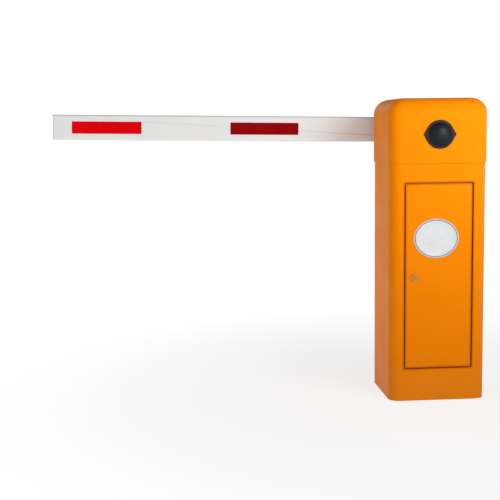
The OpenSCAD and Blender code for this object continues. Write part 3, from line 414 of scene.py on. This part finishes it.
FINISHES = {f.__name__: f for f in (
    orange_powder_coat, boom_white, white_powder_coat, zinc_steel, machined_steel,
    spring_steel, nickel_plate, wheel_bronze, cast_housing, motor_enamel, black_rubber,
    black_plastic, switch_plastic, grey_plastic, white_plastic, plug_plastic, red_plastic,
    board_green, badge_enamel, red_reflective)}
made_finishes = {}


def finish_of(slot):
    """The finish of a material slot, made the first time it is asked for."""
    if slot not in made_finishes:
        made_finishes[slot] = FINISHES[slot](bpy.context.scene.barrier_colours)
    return made_finishes[slot]


# ---- making pieces ---------------------------------------------------------------------

def piece(name, mesh, body, slot, replaces=(), bevel_mm=0.0, steps=2):
    """Puts a mesh in the scene as a piece that rides on a body."""
    obj = bpy.data.objects.new(name, mesh)
    bpy.context.scene.collection.objects.link(obj)
    if not mesh.materials:
        mesh.materials.append(finish_of(slot))
    if bevel_mm:
        edge = obj.modifiers.new("Edge break", "BEVEL")
        edge.width = bevel_mm * MM * bpy.context.scene.barrier_sizes.edge_break
        edge.segments = steps
        edge.limit_method = "ANGLE"
        edge.angle_limit = CREASE
        edge.harden_normals = False
        even = obj.modifiers.new("Even normals", "WEIGHTED_NORMAL")
        even.keep_sharp = True
        even.weight = 80
    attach(obj, body)
    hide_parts(*replaces)
    return obj


def welded(node, rolled=None, roll_mm=0.0):
    """A merged copy of a CAD node's mesh, with its flat faces whole and chosen edges rolled."""
    source = frame["nodes"][node].data
    mesh = bpy.data.meshes.new(node + "_finished")
    mesh.from_pydata([v.co for v in source.vertices], [], [p.vertices for p in source.polygons])
    work = bmesh.new()
    work.from_mesh(mesh)
    bmesh.ops.remove_doubles(work, verts=work.verts, dist=WELD)
    bmesh.ops.dissolve_limit(work, angle_limit=FLAT, verts=work.verts, edges=work.edges)
    bmesh.ops.connect_verts_concave(work, faces=work.faces[:])
    if rolled:
        edges = [e for e in work.edges
                 if e.calc_face_angle(0) > CREASE and all(rolled(v.co) for v in e.verts)]
        bmesh.ops.bevel(work, geom=edges, offset=roll_mm * MM, segments=4, profile=0.5,
                        affect="EDGES", clamp_overlap=True)
    for face in work.faces:
        face.smooth = True
    work.to_mesh(mesh)
    work.free()
    mesh.set_sharp_from_angle(angle=CREASE)
    return mesh


def islands(node):
    """(lowest corner, highest corner) of each separate solid of a CAD node."""
    work = bmesh.new()
    work.from_mesh(frame["nodes"][node].data)
    bmesh.ops.remove_doubles(work, verts=work.verts, dist=WELD)
    left = set(work.verts)
    boxes = []
    while left:
        group, edge = set(), [left.pop()]
        while edge:
            vert = edge.pop()
            group.add(vert)
            for other in (e.other_vert(vert) for e in vert.link_edges):
                if other in left:
                    left.discard(other)
                    edge.append(other)
        boxes.append((Vector(min(v.co[i] for v in group) for i in range(3)),
                      Vector(max(v.co[i] for v in group) for i in range(3))))
    work.free()
    return sorted(boxes, key=lambda b: tuple(b[0]))


def refine(bevels, rolled=None, roll_mm=0.0):
    """Each node as a finished piece of its own, with its edges broken by so many mm."""
    for node, bevel_mm in bevels.items():
        source = frame["nodes"][node]
        slot = source.data.materials[0].name
        piece(node + "_finished", welded(node, rolled, roll_mm), source["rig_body"], slot,
              [node], bevel_mm)


def new_tree(name, **inputs):
    """A Geometry Nodes tree with named inputs for its sizes, and its two end nodes."""
    tree = bpy.data.node_groups.new(name, "GeometryNodeTree")
    tree.interface.new_socket("Geometry", in_out="INPUT", socket_type="NodeSocketGeometry")
    tree.interface.new_socket("Geometry", in_out="OUTPUT", socket_type="NodeSocketGeometry")
    for title, kind in inputs.items():
        tree.interface.new_socket(title.replace("_", " "), in_out="INPUT",
                                  socket_type="NodeSocket" + kind)
    start = add(tree, "NodeGroupInput")
    return tree, start.outputs


def end_tree(tree, shape, material):
    """Ends a tree in plain, smooth geometry with its material."""
    smooth = add(tree, "GeometryNodeSetShadeSmooth", {0: shape, "Shade Smooth": True})
    whole = add(tree, "GeometryNodeRealizeInstances", {0: smooth.outputs[0]})
    coated = add(tree, "GeometryNodeSetMaterial", {0: whole.outputs[0], "Material": material})
    add(tree, "NodeGroupOutput", {0: coated.outputs[0]})


def grown(tree, base, values):
    """The plain mesh that a tree makes on a base, which is then removed."""
    obj = bpy.data.objects.new(tree.name, base)
    bpy.context.scene.collection.objects.link(obj)
    modifier = obj.modifiers.new(tree.name, "NODES")
    modifier.node_group = tree
    for item in tree.interface.items_tree:
        if item.in_out == "INPUT" and item.name in values:
            modifier[item.identifier] = values[item.name]
    view = bpy.context.evaluated_depsgraph_get()
    mesh = bpy.data.meshes.new_from_object(obj.evaluated_get(view))
    bpy.data.objects.remove(obj)
    return mesh


def joined(name, parts, crease=CREASE):
    """One mesh from several, each with its own place: parts are (mesh, matrix)."""
    work = bmesh.new()
    materials = []
    for mesh, place in parts:
        first = len(work.faces)
        work.from_mesh(mesh)
        work.faces.ensure_lookup_table()
        verts = {v for f in work.faces[first:] for v in f.verts}
        bmesh.ops.transform(work, matrix=place, verts=list(verts))
        materials = materials or list(mesh.materials)
    out = bpy.data.meshes.new(name)
    work.to_mesh(out)
    work.free()
    for material in materials:
        out.materials.append(material)
    out.set_sharp_from_angle(angle=crease)
    return out


# ---- pieces ----------------------------------------------------------------------------

class BARRIER_OT_cabinet(bpy.types.Operator):
    """Folded cabinet with its door frame, base plate, slot cover, grommet and door seal"""
    bl_idname = "barrier.cabinet"
    bl_label = "Cabinet"

    def execute(self, context):
        low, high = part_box("door_panel")
        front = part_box("cabinet_shell")[0].y
        margin = 6 * MM
        refine({"cabinet_shell": 0.6}, lambda co: co.y < front + ON_FACE
               and low.x - margin < co.x < high.x + margin
               and low.z - margin < co.z < high.z + margin, 1.6)
        refine({"door_frame": 0.6, "base_plate": 0.8, "slot_cover": 0.4,
                "cable_grommet": 0.8, "door_seal": 0.5})
        return {"FINISHED"}


class BARRIER_OT_hood(bpy.types.Operator):
    """Pressed hood with rounded top edges"""
    bl_idname = "barrier.hood"
    bl_label = "Hood"

    def execute(self, context):
        refine({"hood": 0.5})
        return {"FINISHED"}


class BARRIER_OT_cap(bpy.types.Operator):
    """Black cap over the spare shaft opening"""
    bl_idname = "barrier.cap"
    bl_label = "Shaft cap"

    def execute(self, context):
        refine({"shaft_cap": 0.9})
        return {"FINISHED"}


class BARRIER_OT_door(bpy.types.Operator):
    """Door leaf with its hinges"""
    bl_idname = "barrier.door"
    bl_label = "Door"

    def execute(self, context):
        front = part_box("door_panel")[0].y
        low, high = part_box("lock_barrel")
        lock = (low + high) / 2
        refine({"door_panel": 0.6}, lambda co: co.y < front + ON_FACE
               and math.hypot(co.x - lock.x, co.z - lock.z) > 20 * MM, 3.2)
        refine({"hinge_leaves": 0.3, "hinge_brackets": 0.3, "hinge_pins": 0.3})
        return {"FINISHED"}


class BARRIER_OT_badge(bpy.types.Operator):
    """Plain oval plate on the door"""
    bl_idname = "barrier.badge"
    bl_label = "Badge"

    def execute(self, context):
        low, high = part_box("badge_plate")
        middle = (low + high) / 2
        wide, thick, tall = high - low
        # across the plate from its edge in: (how far in, depth below the face), in mm
        steps = ((0, thick / MM), (0, 0.35), (0.35, 0), (3.6, 0), (4.0, 0.5), (5.4, 0.5),
                 (5.8, 0.15), (7.2, 0.15), (7.5, 0.3), (40, 0.22))
        count = 96
        work = bmesh.new()
        rings = []
        for inward, depth in steps:
            rings.append([work.verts.new((
                middle.x + (wide / 2 - inward * MM) * math.cos(math.tau * k / count),
                low.y + depth * MM,
                middle.z + (tall / 2 - inward * MM) * math.sin(math.tau * k / count)))
                for k in range(count)])
        for step, (outer, inner) in enumerate(zip(rings, rings[1:])):
            for k in range(count):
                face = work.faces.new((outer[k - 1], outer[k], inner[k], inner[k - 1]))
                face.material_index = 1 if step >= 8 else 2 if step in (4, 5) else 0
        work.faces.new(rings[-1]).material_index = 1
        work.faces.new(rings[0])
        for face in work.faces:
            face.smooth = True
        bmesh.ops.recalc_face_normals(work, faces=work.faces)
        mesh = bpy.data.meshes.new("badge")
        work.to_mesh(mesh)
        work.free()
        mesh.set_sharp_from_angle(angle=CREASE)
        # a brushed rim, a plain enamelled field, and a painted groove between them
        mesh.materials.append(finish_of("badge_enamel"))
        mesh.materials.append(finish("pale stove enamel", linear("#C9CBCD"), linear("#BFC1C3"),
                                     0.3, 1.2, 0.02, patch_mm=30, patch=0.5)[0])
        mesh.materials.append(finish("dark groove paint", linear("#4A4D52"),
                                     linear("#5B5E63"), 0.5, 0.8, 0.02, patch_mm=10)[0])
        piece("badge", mesh, "door", "badge_enamel", ["badge_plate"])
        return {"FINISHED"}


class BARRIER_OT_lock(bpy.types.Operator):
    """Cam lock of the door"""
    bl_idname = "barrier.lock"
    bl_label = "Lock"

    def execute(self, context):
        refine({"lock_barrel": 0.8, "lock_nut": 0.4, "lock_plug": 0.3, "lock_cam": 0.3})
        return {"FINISHED"}


class BARRIER_OT_boom(bpy.types.Operator):
    """Extruded boom with its end plugs"""
    bl_idname = "barrier.boom"
    bl_label = "Boom"

    def execute(self, context):
        refine({"boom_tube": 0.3, "boom_plugs": 0.8})
        return {"FINISHED"}


class BARRIER_OT_strips(bpy.types.Operator):
    """Reflective strips: sheets with honeycomb cells"""
    bl_idname = "barrier.strips"
    bl_label = "Reflective strips"

    def execute(self, context):
        refine({"reflectors": 0.1})
        sizes = context.scene.barrier_sizes
        tree, given = new_tree("Honeycomb cells", Columns="Int", Rows="Int", Pitch="Float",
                               Rise="Float", Coat="Material")
        cell = add(tree, "GeometryNodeMeshCone", {
            "Vertices": 6, "Radius Top": 0.0, "Radius Bottom": 0.0, "Depth": given["Rise"]})
        edge = add(tree, "ShaderNodeMath", {0: given["Pitch"], 1: 0.54}, operation="MULTIPLY")
        top = add(tree, "ShaderNodeMath", {0: given["Pitch"], 1: 0.46}, operation="MULTIPLY")
        tree.links.new(edge.outputs[0], cell.inputs["Radius Bottom"])
        tree.links.new(top.outputs[0], cell.inputs["Radius Top"])
        amount = add(tree, "ShaderNodeMath", {0: given["Columns"], 1: given["Rows"]},
                     operation="MULTIPLY")
        line = add(tree, "GeometryNodeMeshLine", {"Count": amount.outputs[0],
                                                  "Offset": (0, 0, 0)})
        index = add(tree, "GeometryNodeInputIndex").outputs[0]
        part = add(tree, "ShaderNodeMath", {0: index, 1: given["Columns"]},
                   operation="DIVIDE").outputs[0]
        row = add(tree, "ShaderNodeMath", {0: part}, operation="FLOOR").outputs[0]
        column = add(tree, "ShaderNodeMath", {0: index, 1: given["Columns"]},
                     operation="MODULO").outputs[0]
        odd = add(tree, "ShaderNodeMath", {0: row, 1: 2.0}, operation="MODULO").outputs[0]
        across = add(tree, "ShaderNodeMath", {0: odd, 1: 0.5, 2: column},
                     operation="MULTIPLY_ADD").outputs[0]
        x = add(tree, "ShaderNodeMath", {0: across, 1: given["Pitch"]},
                operation="MULTIPLY").outputs[0]
        gap = add(tree, "ShaderNodeMath", {0: given["Pitch"], 1: HEX},
                  operation="MULTIPLY").outputs[0]
        y = add(tree, "ShaderNodeMath", {0: row, 1: gap}, operation="MULTIPLY").outputs[0]
        spot = add(tree, "ShaderNodeCombineXYZ", {0: x, 1: y}).outputs[0]
        spread = add(tree, "GeometryNodeSetPosition", {0: line.outputs[0], "Position": spot})
        turned = add(tree, "FunctionNodeInputVector", vector=(0, 0, math.radians(30)))
        cells = add(tree, "GeometryNodeInstanceOnPoints", {
            "Points": spread.outputs[0], "Instance": cell.outputs[0],
            "Rotation": turned.outputs[0]})
        end_tree(tree, cells.outputs[0], given["Coat"])
        pitch = sizes.cell_pitch
        margin = 3 * MM
        parts = []
        lean = math.radians(BOOM_TILT)
        for low, high in islands("reflectors"):
            box = (high - low) / math.cos(2 * lean)
            wide = box.x * math.cos(lean) - box.z * math.sin(lean) - 2 * margin
            tall = box.z * math.cos(lean) - box.x * math.sin(lean) - 2 * margin
            columns = int(wide / pitch)
            rows = int(tall / pitch / HEX)
            mesh = grown(tree, bpy.data.meshes.new("cells"), {
                "Columns": columns - 1, "Rows": rows, "Pitch": pitch,
                "Rise": sizes.cell_rise, "Coat": finish_of("red_reflective")})
            middle = (low + high) / 2
            front = middle.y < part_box("boom_tube")[0].y + 10 * MM
            face = low.y if front else high.y
            start = Vector((1.5 - columns, (1 - rows) * HEX, 0)) * pitch / 2
            stand = Matrix.Rotation(math.radians(90 if front else -90), 4, "X")
            parts.append((mesh, Matrix.Translation((middle.x, face, middle.z))
                          @ Matrix.Rotation(lean, 4, "Y") @ stand
                          @ Matrix.Translation(start)))
        piece("reflector_cells", joined("reflector_cells", parts), "boom", "red_reflective")
        return {"FINISHED"}


class BARRIER_OT_holder(bpy.types.Operator):
    """Flange, cradle, clamp plate and bolts that hold the boom"""
    bl_idname = "barrier.holder"
    bl_label = "Boom holder"

    def execute(self, context):
        refine({"hub_flange": 0.8, "boom_cradle": 0.8, "clamp_plate": 0.8, "boom_bolts": 0.5})
        return {"FINISHED"}


class BARRIER_OT_chassis(bpy.types.Operator):
    """Rails, shelf, plates and bearings inside the cabinet"""
    bl_idname = "barrier.chassis"
    bl_label = "Chassis"

    def execute(self, context):
        refine({"chassis_rails": 0.5, "chassis_shelf": 0.5, "chassis_front_plate": 0.5,
                "chassis_rear_plate": 0.5, "chassis_fasteners": 0.5, "bearing_housings": 1.2,
                "bearing_outer_rings": 0.3, "bearing_inner_rings": 0.3, "buffer_posts": 0.5,
                "rubber_buffers": 1.2, "spring_bolts": 0.4})
        return {"FINISHED"}


class BARRIER_OT_drive(bpy.types.Operator):
    """Gearbox, shafts, crank, rod and levers"""
    bl_idname = "barrier.drive"
    bl_label = "Drive"

    def execute(self, context):
        refine({"gearbox_case": 2.0, "gearbox_cover": 1.2, "main_shaft": 0.8, "shaft_keys": 0.3,
                "drive_lever": 0.8, "lever_pins": 0.5, "limit_cams": 0.6, "output_shaft": 0.6,
                "worm_wheel": 0.2, "crank_arm": 0.8, "crank_pin": 0.5, "connecting_rod": 0.6,
                "rod_sleeve": 0.4, "worm": 0.0})
        return {"FINISHED"}


class BARRIER_OT_motor(bpy.types.Operator):
    """Motor with cooling fins, and its handwheel"""
    bl_idname = "barrier.motor"
    bl_label = "Motor"

    def execute(self, context):
        refine({"motor_case": 0.8, "motor_end_bell": 1.5, "motor_rotor": 0.5,
                "handwheel": 1.5})
        sizes = context.scene.barrier_sizes
        low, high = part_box("motor_case")
        radius = (high.x - low.x) / 2
        tree, given = new_tree("Cooling fins", Count="Int", Radius="Float", Rise="Float",
                               Length="Float", Coat="Material")
        ring = add(tree, "GeometryNodeMeshCircle", {"Vertices": given["Count"],
                                                    "Radius": given["Radius"]})
        deep = add(tree, "ShaderNodeMath", {0: given["Rise"], 1: 2.0}, operation="MULTIPLY")
        size = add(tree, "ShaderNodeCombineXYZ", {0: deep.outputs[0], 1: 2.4 * MM,
                                                  2: given["Length"]})
        fin = add(tree, "GeometryNodeMeshCube", {"Size": size.outputs[0]})
        step = add(tree, "ShaderNodeMath", {0: math.tau, 1: given["Count"]}, operation="DIVIDE")
        index = add(tree, "GeometryNodeInputIndex")
        turn = add(tree, "ShaderNodeMath", {0: index.outputs[0], 1: step.outputs[0]},
                   operation="MULTIPLY")
        turned = add(tree, "ShaderNodeCombineXYZ", {2: turn.outputs[0]})
        fins = add(tree, "GeometryNodeInstanceOnPoints", {
            "Points": ring.outputs[0], "Instance": fin.outputs[0],
            "Rotation": turned.outputs[0]})
        end_tree(tree, fins.outputs[0], given["Coat"])
        length = (high.z - low.z) * 0.72
        mesh = grown(tree, bpy.data.meshes.new("fins"), {
            "Count": sizes.fin_count, "Radius": radius, "Rise": sizes.fin_rise,
            "Length": length, "Coat": finish_of("motor_enamel")})
        middle = (low + high) / 2
        piece("motor_fins", joined("motor_fins", [(mesh, Matrix.Translation(middle))]),
              "cabinet", "motor_enamel", bevel_mm=0.5)
        return {"FINISHED"}


class BARRIER_OT_springs(bpy.types.Operator):
    """Balance springs wound from round wire, with a hook at each end"""
    bl_idname = "barrier.springs"
    bl_label = "Balance springs"

    def execute(self, context):
        sizes = context.scene.barrier_sizes
        low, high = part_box("balance_springs")
        radius = (high.x - low.x) / 2
        x = (high.x + low.x) / 2
        wire = sizes.spring_wire / 2
        tree, given = new_tree("Wound wire", Wire_radius="Float", Sides="Int", Coat="Material")
        ring = add(tree, "GeometryNodeCurvePrimitiveCircle", {
            "Resolution": given["Sides"], "Radius": given["Wire radius"]})
        swept = add(tree, "GeometryNodeCurveToMesh", {
            "Curve": given["Geometry"], "Profile Curve": ring.outputs[0], "Fill Caps": True})
        end_tree(tree, swept.outputs[0], given["Coat"])
        parts = []
        for y in (low.y + radius, high.y - radius):
            path = spring_path(x, y, radius - wire, sizes.spring_pitch)
            curve = bpy.data.curves.new("spring", "CURVE")
            curve.dimensions = "3D"
            spline = curve.splines.new("POLY")
            spline.points.add(len(path) - 1)
            for point, co in zip(spline.points, path):
                point.co = (*co, 1)
            mesh = grown(tree, curve, {"Wire radius": wire, "Sides": 8,
                                       "Coat": finish_of("spring_steel")})
            parts.append((mesh, Matrix.Identity(4)))
        springs = piece("wound_springs", joined("wound_springs", parts, math.radians(60)),
                        "cabinet", "spring_steel", ["balance_springs"])
        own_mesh(springs)
        return {"FINISHED"}


def spring_path(x, y, radius, pitch):
    """Points of one spring: lower hook through the bolt's eye, coils, upper hook on the pin."""
    hook = 6.4 * MM
    foot = SPRING_FOOT + 8 * MM
    path = [(x, y + hook * math.sin(a), foot - hook * math.cos(a))
            for a in (math.radians(v) for v in range(-150, 181, 15))]
    lead = 5 * MM
    z0 = foot + hook + 1 * MM + lead
    coiled = SPRING_TOP - hook - 1 * MM - lead - z0
    per_turn = 16
    half = per_turn // 2
    total = round(coiled / pitch) * per_turn
    for k in range(-half, total + half + 1):
        out = min(1, (k + half) / half, (total + half - k) / half)
        z = z0 + coiled * min(max(k, 0), total) / total
        z += lead * (min(k, 0) + max(k - total, 0)) / half
        a = math.tau * k / per_turn
        path.append((x + radius * out * math.cos(a), y + radius * out * math.sin(a), z))
    path += [(x + hook * math.sin(a), y, SPRING_TOP - hook * math.cos(a))
             for a in (math.radians(v) for v in range(0, 331, 15))]
    return path


class BARRIER_OT_electrics(bpy.types.Operator):
    """Limit switches, control box, rail and breaker"""
    bl_idname = "barrier.electrics"
    bl_label = "Electrics"

    def execute(self, context):
        refine({"limit_switches": 0.6, "control_box": 2.0, "control_lid": 1.5,
                "circuit_board": 0.3, "din_rail": 0.2, "circuit_breaker": 0.6})
        return {"FINISHED"}


class BARRIER_OT_stage(bpy.types.Operator):
    """Pale floor, soft light and the camera"""
    bl_idname = "barrier.stage"
    bl_label = "Stage"

    def execute(self, context):
        scene = context.scene
        scene.view_settings.view_transform = "Standard"
        reach = 40.0
        mesh = bpy.data.meshes.new("floor")
        mesh.from_pydata([(-reach, -reach, 0), (reach, -reach, 0), (reach, reach, 0),
                          (-reach, reach, 0)], [], [(0, 1, 2, 3)])
        floor = bpy.data.objects.new("floor", mesh)
        material, tree, place, body = finish(
            "pale studio floor", linear("#FBFBFB"), linear("#F8F8F8"), 0.9, 3.0, 0.05,
            **{"Specular IOR Level": 0.1})
        away = add(tree, "ShaderNodeVectorMath", {0: place}, operation="LENGTH").outputs["Value"]
        far = add(tree, "ShaderNodeMapRange", {"Value": away, "From Min": 0.3, "From Max": 2.0,
                                               "To Min": 0.72},
                  interpolation_type="SMOOTHSTEP").outputs[0]
        white = add(tree, "ShaderNodeEmission", {"Color": (1, 1, 1, 1), "Strength": SKY_SEEN})
        both = add(tree, "ShaderNodeMixShader", {0: far, 1: body.outputs[0],
                                                 2: white.outputs[0]})
        add(tree, "ShaderNodeOutputMaterial", {"Surface": both.outputs[0]},
            is_active_output=True)
        mesh.materials.append(material)
        scene.collection.objects.link(floor)

        world = bpy.data.worlds.new("studio")
        world.use_nodes = True
        tree = world.node_tree
        tree.nodes.clear()
        # the backdrop is plain white to the eye, but lights the piece dimly, and least from
        # above and from the right
        seen = add(tree, "ShaderNodeLightPath").outputs["Is Camera Ray"]
        way = add(tree, "ShaderNodeTexCoord").outputs["Generated"]
        way = add(tree, "ShaderNodeSeparateXYZ", {0: way}).outputs
        right = add(tree, "ShaderNodeMapRange", {"Value": way["X"], "From Min": 0.2,
                                                 "To Min": 0.34, "To Max": 0.16}).outputs[0]
        above = add(tree, "ShaderNodeMapRange", {"Value": way["Z"], "From Min": 0.4,
                                                 "To Min": 1.0, "To Max": 0.4}).outputs[0]
        dim = add(tree, "ShaderNodeMath", {0: right, 1: above}, operation="MULTIPLY").outputs[0]
        glow = add(tree, "ShaderNodeMapRange", {"Value": seen, "To Min": dim, "To Max": SKY_SEEN})
        sky = add(tree, "ShaderNodeBackground", {"Color": (1, 1, 1, 1),
                                                 "Strength": glow.outputs[0]})
        add(tree, "ShaderNodeOutputWorld", {"Surface": sky.outputs[0]})
        scene.world = world

        sun = bpy.data.lights.new("sun", "SUN")
        sun.energy = 0.37
        sun.angle = math.radians(40)
        aim(scene, sun, Vector((0, 0, 0.5)), Vector((0.8, -3.0, 1.4)))
        for name, watts, width, target, place in (
                ("key", 9.0, 0.6, (0.04, -0.1, 0.96), (0.42, -0.87, 1.12)),
                ("side", 3.5, 1.0, (-0.9, 0.15, 0.9), (-1.5, -1.6, 1.3)),
                ("fill", 5, 1.6, (0, 0, 0.6), (-2.8, 0.5, 1.3)),
                ("back", 26, 2.0, (0, 0.1, 0.6), (-1.8, 3.0, 2.4))):
            light = bpy.data.lights.new(name, "AREA")
            light.energy = watts
            light.size = width
            aim(scene, light, Vector(target), Vector(place))

        camera = bpy.data.cameras.new("camera")
        camera.sensor_width = SENSOR
        camera.lens = LENS
        camera.clip_end = 200
        view = bpy.data.objects.new("camera", camera)
        scene.collection.objects.link(view)
        yaw, pitch, roll = (math.radians(a) for a in CAMERA_ANGLES)
        ahead = Vector((math.sin(yaw) * math.cos(pitch), math.cos(yaw) * math.cos(pitch),
                        -math.sin(pitch)))
        level = Vector((math.cos(yaw), -math.sin(yaw), 0))
        over = level.cross(ahead)
        right = level * math.cos(roll) + over * math.sin(roll)
        up = over * math.cos(roll) - level * math.sin(roll)
        turn = Matrix((right, up, -ahead)).transposed().to_4x4()
        view.matrix_world = Matrix.Translation(CAMERA_PLACE) @ turn
        scene.camera = view
        return {"FINISHED"}


def aim(scene, light, target, place):
    """Puts a light at a place, pointing at a target."""
    obj = bpy.data.objects.new(light.name, light)
    scene.collection.objects.link(obj)
    obj.location = place
    obj.rotation_euler = (target - place).to_track_quat("-Z", "Y").to_euler()


class BARRIER_PT_panel(bpy.types.Panel):
    """Lists the barrier gate's pieces, sizes and colours"""
    bl_idname = "BARRIER_PT_panel"
    bl_label = "Barrier gate"
    bl_space_type = "VIEW_3D"
    bl_region_type = "UI"
    bl_category = "Barrier gate"

    def draw(self, context):
        for group in (context.scene.barrier_sizes, context.scene.barrier_colours):
            box = self.layout.box()
            for key in group.__annotations__:
                box.prop(group, key)
        for operator in OPERATORS:
            self.layout.operator(operator.bl_idname)


OPERATORS = (
    BARRIER_OT_cabinet, BARRIER_OT_hood, BARRIER_OT_cap, BARRIER_OT_door, BARRIER_OT_badge,
    BARRIER_OT_lock, BARRIER_OT_boom, BARRIER_OT_strips, BARRIER_OT_holder,
    BARRIER_OT_chassis, BARRIER_OT_drive, BARRIER_OT_motor, BARRIER_OT_springs,
    BARRIER_OT_electrics, BARRIER_OT_stage)
GROUPS = (BARRIER_PG_sizes, BARRIER_PG_colours)


def register():
    for cls in GROUPS + OPERATORS + (BARRIER_PT_panel,):
        bpy.utils.register_class(cls)
    bpy.types.Scene.barrier_sizes = bpy.props.PointerProperty(type=BARRIER_PG_sizes)
    bpy.types.Scene.barrier_colours = bpy.props.PointerProperty(type=BARRIER_PG_colours)


def unregister():
    del bpy.types.Scene.barrier_colours
    del bpy.types.Scene.barrier_sizes
    for cls in reversed(GROUPS + OPERATORS + (BARRIER_PT_panel,)):
        bpy.utils.unregister_class(cls)


def main():
    register()
    for operator in OPERATORS:
        group, name = operator.bl_idname.split(".")
        getattr(getattr(bpy.ops, group), name)()


if __name__ == "__main__":
    main()
